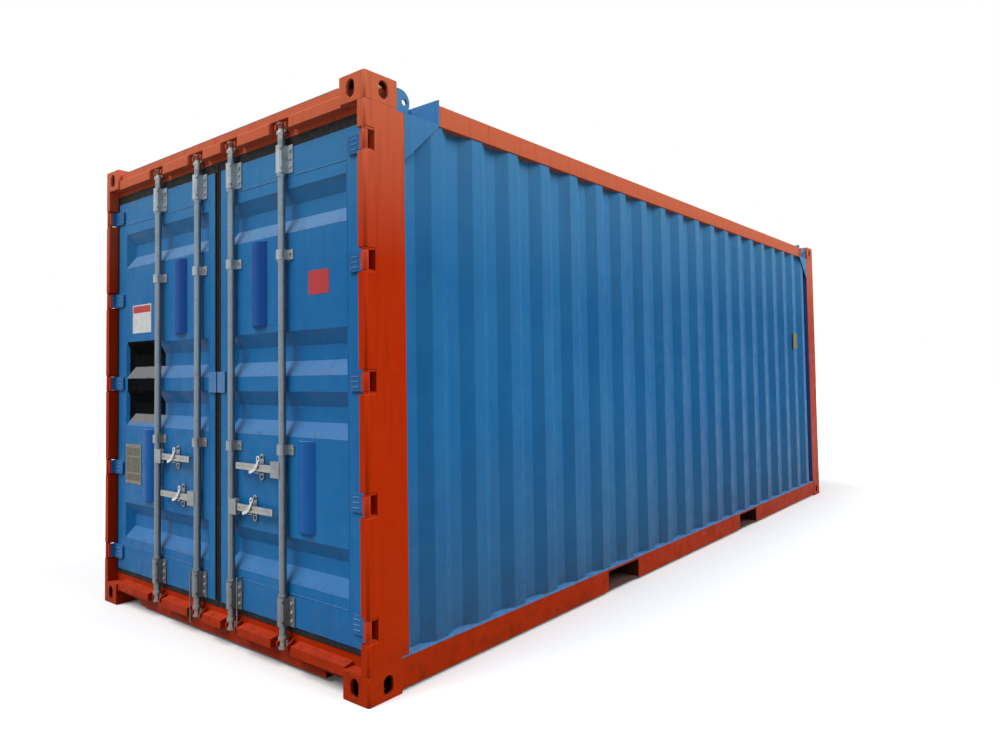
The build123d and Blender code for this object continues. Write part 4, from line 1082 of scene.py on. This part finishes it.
@dataclass
class DataPlate:
    """Blank raised fields and corner rivets of the plate on the left leaf.

    Attributes:
        palette: The finishes.
        face: The plate's face, along Y.
        fields_x: Reach of the fields across.
        fields_z: Reach of each field in height.
        raised: How far the fields stand out of it.
        sunk: How far they are sunk in it.
        rounded: How far their edges are rounded.
        rivets_x: Where the rivets are, across.
        rivets_z: Where the rivets are, in height.
        rivet: Radius of a rivet.
    """

    palette: Palette
    face: float = LEAF_FACE - 0.003
    fields_x: Span = (-1.022, -0.858)
    fields_z: tuple[Span, ...] = ((0.733, 0.771), (0.781, 0.867), (0.877, 0.922))
    raised: float = 0.0006
    sunk: float = 0.0002
    rounded: float = 0.0003
    rivets_x: Span = (-1.028, -0.852)
    rivets_z: Span = (0.720, 0.936)
    rivet: float = 0.004

    def build(self) -> None:
        """Make both."""
        fields = Mesh("data_plate_fields")
        start, end = self.fields_x
        front, back = self.face - self.raised, self.face + self.sunk
        for low, high in self.fields_z:
            fields.block((start, front, low), (end, back, high), self.rounded)
        fields.finish(self.palette["bronze_field"], "left_door", "bright_steel")
        rivets = Mesh("data_plate_rivets")
        for x in self.rivets_x:
            for z in self.rivets_z:
                rivets.rivet((x, self.face, z), OUTWARDS, self.rivet)
        rivets.finish(self.palette["bright_steel"], "left_door", "bright_steel", 40)


@dataclass
class LeafDress:
    """Welds, hinge ridges, seal lip and blank plates of one leaf.

    Attributes:
        side: Which leaf.
        palette: The finishes.
        panel_x: Ends of the pressed panel, from the middle.
        panel_z: Foot and head of the pressed panel.
        weld: Radius of the weld beads.
        hinge_z: Heights of the hinges.
        ridge_x: Ends of the hinge ridges, from the middle.
        ridge: Radius of a hinge ridge.
        ridge_pitch: Distance of one ridge to the next.
        lip_x: Edges of the seal's lip, from the middle.
        lip_z: Foot and head of the seal's lip.
        lip: Thickness of the seal's lip.
        blade_face: Face of the hinge blades, along Y.
    """

    side: Side
    palette: Palette
    panel_x: Span = (0.088, 1.046)
    panel_z: Span = (0.343, 2.256)
    weld: float = 0.0022
    hinge_z: tuple[float, ...] = (0.298, 0.79975, 1.3015, 1.80325, 2.305)
    ridge_x: Span = (1.082, 1.128)
    ridge: float = 0.0024
    ridge_pitch: float = 0.022
    lip_x: Span = (0.0212, 0.0285)
    lip_z: Span = (0.2015, 2.3965)
    lip: float = 0.0015
    blade_face: float = LEAF_FACE - 0.010

    @property
    def body(self) -> str:
        """Name of the leaf's body."""
        return f"{self.side.word}_door"

    def across(self, reach: Span) -> list[float]:
        """Turn a reach from the middle into one along X on this leaf."""
        return sorted(self.side.value * x for x in reach)

    def welds(self) -> None:
        """Run weld beads where the pressed panel meets the head and foot rails."""
        seams = Mesh(f"{self.side.word}_panel_welds")
        low, high = self.across(self.panel_x)
        for z in self.panel_z:
            seams.bead((low, LEAF_FACE, z), (high, LEAF_FACE, z), self.weld)
        seams.finish(self.palette["door_blue"], self.body, "door_blue", 50)

    def ridges(self) -> None:
        """Press three short ridges in each hinge blade, in a paler blue that is painted highlight."""
        ridges = Mesh(f"{self.side.word}_hinge_ridges")
        start, end = (self.side.value * x for x in self.ridge_x)
        for middle in self.hinge_z:
            for row in (-1, 0, 1):
                z = middle + row * self.ridge_pitch
                ridges.bead((start, self.blade_face, z), (end, self.blade_face, z), self.ridge, 0.2)
        ridges.finish(self.palette["ridge_blue"], self.body, "fitting_blue", 60)

    def seal_lip(self) -> None:
        """Lap the seal's lip over the leaf's middle edge."""
        lip = Mesh(f"{self.side.word}_seal_lip")
        near, far = self.across(self.lip_x)
        foot, head = self.lip_z
        lip.block((near, LEAF_FACE - self.lip, foot), (far, LEAF_FACE + SUNK, head), 0.4 * self.lip)
        lip.finish(self.palette["seal_rubber"], self.body, "seal_black")

    def build(self) -> None:
        """Make all of it."""
        self.welds()
        self.ridges()
        self.seal_lip()
        for patch in PATCHES[self.side]:
            patch.build(self.palette, self.body)


@dataclass
class HullDress:
    """Welds and small fixed parts of the container's body.

    Attributes:
        palette: The finishes.
        wall_x: Outer face of the side walls, from the middle.
        wall_foot: Height of the walls' foot.
        wave_depth: Depth of the walls' waves.
        wave_start: Where the first wave would start.
        wave_pitch: Length of a wave.
        wave_line: Where a wave turns, from its start.
        waves: The waves that have a bead.
        bead: Radius of the weld beads.
        rail_x: Outer face of the rails, from the middle.
        rail_y: Where the rails meet the castings, from the middle.
        rail_feet: Feet of the beads at the rails' ends.
        rail_rise: Height of those beads.
        post_x: Outer face of the posts, from the middle.
        post_y: Faces of the posts that look out of the ends, from the middle.
        post_seams: Heights of the seams between posts and castings.
        seam_x: Ends of a seam across the posts, from the middle.
        seam_y: Ends of a seam along the posts, from the middle.
        flange_x: Reach of the closed end's rail flange over a casting, from the middle.
        flange_y: Its reach along.
        flange_z: Its reach in height.
        plate_x: Face of the blank plate on the right side wall.
        plate_y: Its reach along.
        plate_z: Its reach in height.
    """

    palette: Palette
    wall_x: float = 1.2085
    wall_foot: float = 0.150
    wave_depth: float = 0.036
    wave_start: float = -2.919
    wave_pitch: float = 0.278
    wave_line: tuple[float, ...] = (0.072, 0.140, 0.210, 0.278)
    waves: range = range(1, 20)
    bead: float = 0.003
    rail_x: float = 1.2150
    rail_y: float = 2.851
    rail_feet: Span = (0.020, 2.473)
    rail_rise: float = 0.09
    post_x: float = 1.2152
    post_y: float = 3.0252
    post_seams: Span = (0.118, 2.473)
    seam_x: Span = (1.172, 1.206)
    seam_y: Span = (3.016, 2.855)
    flange_x: Span = (1.057, 1.172)
    flange_y: Span = (2.930, 3.0135)
    flange_z: Span = (0.144, 0.150)
    plate_x: float = 1.212
    plate_y: Span = (2.344, 2.456)
    plate_z: Span = (1.514, 1.670)

    def foot_welds(self) -> None:
        """Run a bead along each wall's foot, in and out with its waves."""
        beads = Mesh("wall_foot_welds")
        for sign in (-1, 1):
            outer, inner = (sign * (self.wall_x - depth) for depth in (0.0, self.wave_depth))
            for wave in self.waves:
                y = self.wave_start + wave * self.wave_pitch
                ends = [y, *(y + step for step in self.wave_line)]
                across = (outer, outer, inner, inner, outer)
                spots = [(x, at, self.wall_foot) for x, at in zip(across, ends)]
                for first, second in zip(spots, spots[1:]):
                    beads.bead(first, second, self.bead, 0.07)
        beads.finish(self.palette["side_blue"], "container", "side_blue", 60)

    def casting_welds(self) -> None:
        """Run beads round the castings, to the rails and the posts."""
        beads = Mesh("rail_welds")
        start, end = self.seam_x
        outer, inner = self.seam_y
        for side in (-1, 1):
            rail, post = side * self.rail_x, side * self.post_x
            for way in (-1, 1):
                y = way * self.rail_y
                for z in self.rail_feet:
                    beads.bead((rail, y, z), (rail, y, z + self.rail_rise), self.bead)
            for way in (-1, 1):
                y = way * self.post_y
                for z in self.post_seams:
                    beads.bead((side * start, y, z), (side * end, y, z), self.bead)
                    beads.bead((post, way * outer, z), (post, way * inner, z), self.bead)
        beads.finish(self.palette["frame_red"], "container", "frame_red", 60)

    def flange_ends(self) -> None:
        """Run the closed end's rail flange on over the castings."""
        ends = Mesh("closed_end_rail_ends")
        for side in (-1, 1):
            low, high = sorted(side * x for x in self.flange_x)
            near, far = zip(self.flange_y, self.flange_z)
            ends.block((low, *near), (high, *far))
        ends.finish(self.palette["frame_red"], "container", "frame_red")

    def side_plate(self) -> None:
        """Fix a blank plate on the right side wall."""
        plate = Mesh("side_plate")
        near, far = zip(self.plate_y, self.plate_z)
        plate.block((self.wall_x, *near), (self.plate_x, *far), 0.001)
        plate.finish(self.palette["blank_tan"], "container", "bright_steel")

    def build(self) -> None:
        """Make all of it."""
        self.foot_welds()
        self.casting_welds()
        self.flange_ends()
        self.side_plate()


@dataclass(frozen=True)
class Lamp:
    """A sun.

    Attributes:
        name: Its name.
        energy: Its strength.
        heading: Where it stands, in degrees round from the door end's side, towards +X.
        height: Its height over the horizon in degrees.
        spread: Width of its disc in degrees, which softens the shadows.
        distance: How far off it hangs, which changes nothing but where it is drawn.
    """

    name: str
    energy: float
    heading: float
    height: float
    spread: float
    distance: float = 12.0

    def hang(self) -> None:
        """Hang it."""
        data = bpy.data.lights.new(self.name, "SUN")
        data.energy = self.energy
        data.angle = math.radians(self.spread)
        lamp = bpy.data.objects.new(self.name, data)
        az, el = math.radians(self.heading), math.radians(self.height)
        stand = Vector((math.sin(az) * math.cos(el), -math.cos(az) * math.cos(el), math.sin(el)))
        lamp.rotation_euler = (-stand).to_track_quat("-Z", "Y").to_euler()
        lamp.location = stand * self.distance
        bpy.context.scene.collection.objects.link(lamp)


@dataclass
class Studio:
    """Pale floor, soft light and the camera of the photograph.

    Attributes:
        lens: Focal length of the camera in millimetres.
        shift: Shift of its picture.
        eye: Where it stands.
        heading: The way it looks, in degrees round from +Y, towards +X.
        pitch: How far it looks up, in degrees.
        roll: How far it is turned about its view, in degrees.
        sky: Strength of the world as light, where it is 1 as background.
        floor_tone: Brightness of the floor as light, and as it is seen.
        floor_glow: Light of the floor's own, as it is seen.
        lamps: The suns.
    """

    lens: float = 26.107
    shift: tuple[float, float] = (-0.03092, -0.03097)
    eye: tuple[float, float, float] = (3.5426, -4.9475, 1.3315)
    heading: float = -37.6383
    pitch: float = 2.1857
    roll: float = 0.9584
    sky: float = 0.34
    floor_tone: tuple[float, float] = (0.14, 0.93)
    floor_glow: float = 0.03
    lamps: tuple[Lamp, ...] = (
        Lamp("door_sky", 2.75, -28.0, 56.0, 40.0),
        Lamp("side_sky", 2.45, 114.0, 44.0, 40.0),
    )

    def camera(self) -> None:
        """Stand the camera where the photograph's was."""
        az, el, roll = (math.radians(a) for a in (self.heading, self.pitch, self.roll))
        ahead = Vector((math.cos(el) * math.sin(az), math.cos(el) * math.cos(az), math.sin(el)))
        right = ahead.cross(Vector((0, 0, 1))).normalized()
        down = ahead.cross(right)
        tilted = math.cos(roll) * right + math.sin(roll) * down
        down = -math.sin(roll) * right + math.cos(roll) * down
        turn = Matrix((tilted, -down, -ahead)).transposed().to_4x4()
        data = bpy.data.cameras.new("camera")
        data.sensor_width = 36.0
        data.lens = self.lens
        data.shift_x, data.shift_y = self.shift
        data.clip_end = 200.0
        camera = bpy.data.objects.new("camera", data)
        camera.matrix_world = Matrix.Translation(self.eye) @ turn
        bpy.context.scene.collection.objects.link(camera)
        bpy.context.scene.camera = camera

    def seen(self, tree: bpy.types.NodeTree) -> Socket:
        """Tell what is seen, directly, in reflections or through glass, from what lights.

        Args:
            tree: The nodes to add to.

        Returns:
            1 where it is seen, and 0 where it lights.
        """
        path = tree.nodes.new("ShaderNodeLightPath")
        share = path.outputs["Is Camera Ray"]
        for name in ("Is Glossy Ray", "Is Transmission Ray"):
            either = tree.nodes.new("ShaderNodeMath")
            either.operation = "MAXIMUM"
            tree.links.new(share, either.inputs[0])
            tree.links.new(path.outputs[name], either.inputs[1])
            share = either.outputs[0]
        return share

    def by_ray(self, tree: bpy.types.NodeTree, low: float, high: float) -> Socket:
        """One value where the surface or the world lights, another where it is seen.

        Args:
            tree: The nodes to add to.
            low: The value where it lights.
            high: The value where it is seen.

        Returns:
            The value.
        """
        node = tree.nodes.new("ShaderNodeMapRange")
        node.inputs["To Min"].default_value = low
        node.inputs["To Max"].default_value = high
        tree.links.new(self.seen(tree), node.inputs["Value"])
        return node.outputs["Result"]

    def world(self) -> None:
        """Light everything evenly, and show white behind it."""
        world = bpy.data.worlds.new("studio")
        world.use_nodes = True
        bpy.context.scene.world = world
        tree = world.node_tree
        back = next(n for n in tree.nodes if n.type == "BACKGROUND")
        back.inputs["Color"].default_value = (1.0, 1.0, 1.0, 1.0)
        tree.links.new(self.by_ray(tree, self.sky, 1.0), back.inputs["Strength"])

    def paper(self) -> bpy.types.Material:
        """Make the floor's material.

        Returns:
            The material.
        """
        material = bpy.data.materials.new("studio_floor")
        material.use_nodes = True
        tree = material.node_tree
        surface = next(n for n in tree.nodes if n.type == "BSDF_PRINCIPLED")
        tree.links.new(self.by_ray(tree, *self.floor_tone), surface.inputs["Base Color"])
        surface.inputs["Roughness"].default_value = 0.9
        surface.inputs["Specular IOR Level"].default_value = 0.1
        glow = tree.nodes.new("ShaderNodeEmission")
        tree.links.new(self.by_ray(tree, 0.0, self.floor_glow), glow.inputs["Strength"])
        both = tree.nodes.new("ShaderNodeAddShader")
        tree.links.new(surface.outputs[0], both.inputs[0])
        tree.links.new(glow.outputs[0], both.inputs[1])
        output = next(n for n in tree.nodes if n.type == "OUTPUT_MATERIAL")
        tree.links.new(both.outputs[0], output.inputs["Surface"])
        return material

    def floor(self) -> None:
        """Lay a white floor that keeps the object's shadow."""
        bm = bmesh.new()
        bmesh.ops.create_grid(bm, x_segments=1, y_segments=1, size=60.0)
        data = bpy.data.meshes.new("floor_plane")
        bm.to_mesh(data)
        bm.free()
        data.materials.append(self.paper())
        plane = bpy.data.objects.new("floor_plane", data)
        plane.location = (0, 0, -0.002)
        bpy.context.scene.collection.objects.link(plane)

    def build(self) -> None:
        """Set up the whole stage."""
        self.camera()
        self.world()
        self.floor()
        for lamp in self.lamps:
            lamp.hang()
        bpy.context.scene.view_settings.view_transform = "Standard"


def main() -> None:
    """Build the container's looks, and log the pieces' finishes and faces."""
    logging.basicConfig(level=logging.INFO, format="%(name)s: %(message)s")
    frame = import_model()
    palette = Palette()
    Frame(frame["nodes"], palette).dress()
    for side in Side:
        LockGear(side, palette).build()
        LeafDress(side, palette).build()
    DataPlate(palette).build()
    HullDress(palette).build()
    Studio().build()
    bpy.context.view_layer.update()


if __name__ == "__main__":
    main()
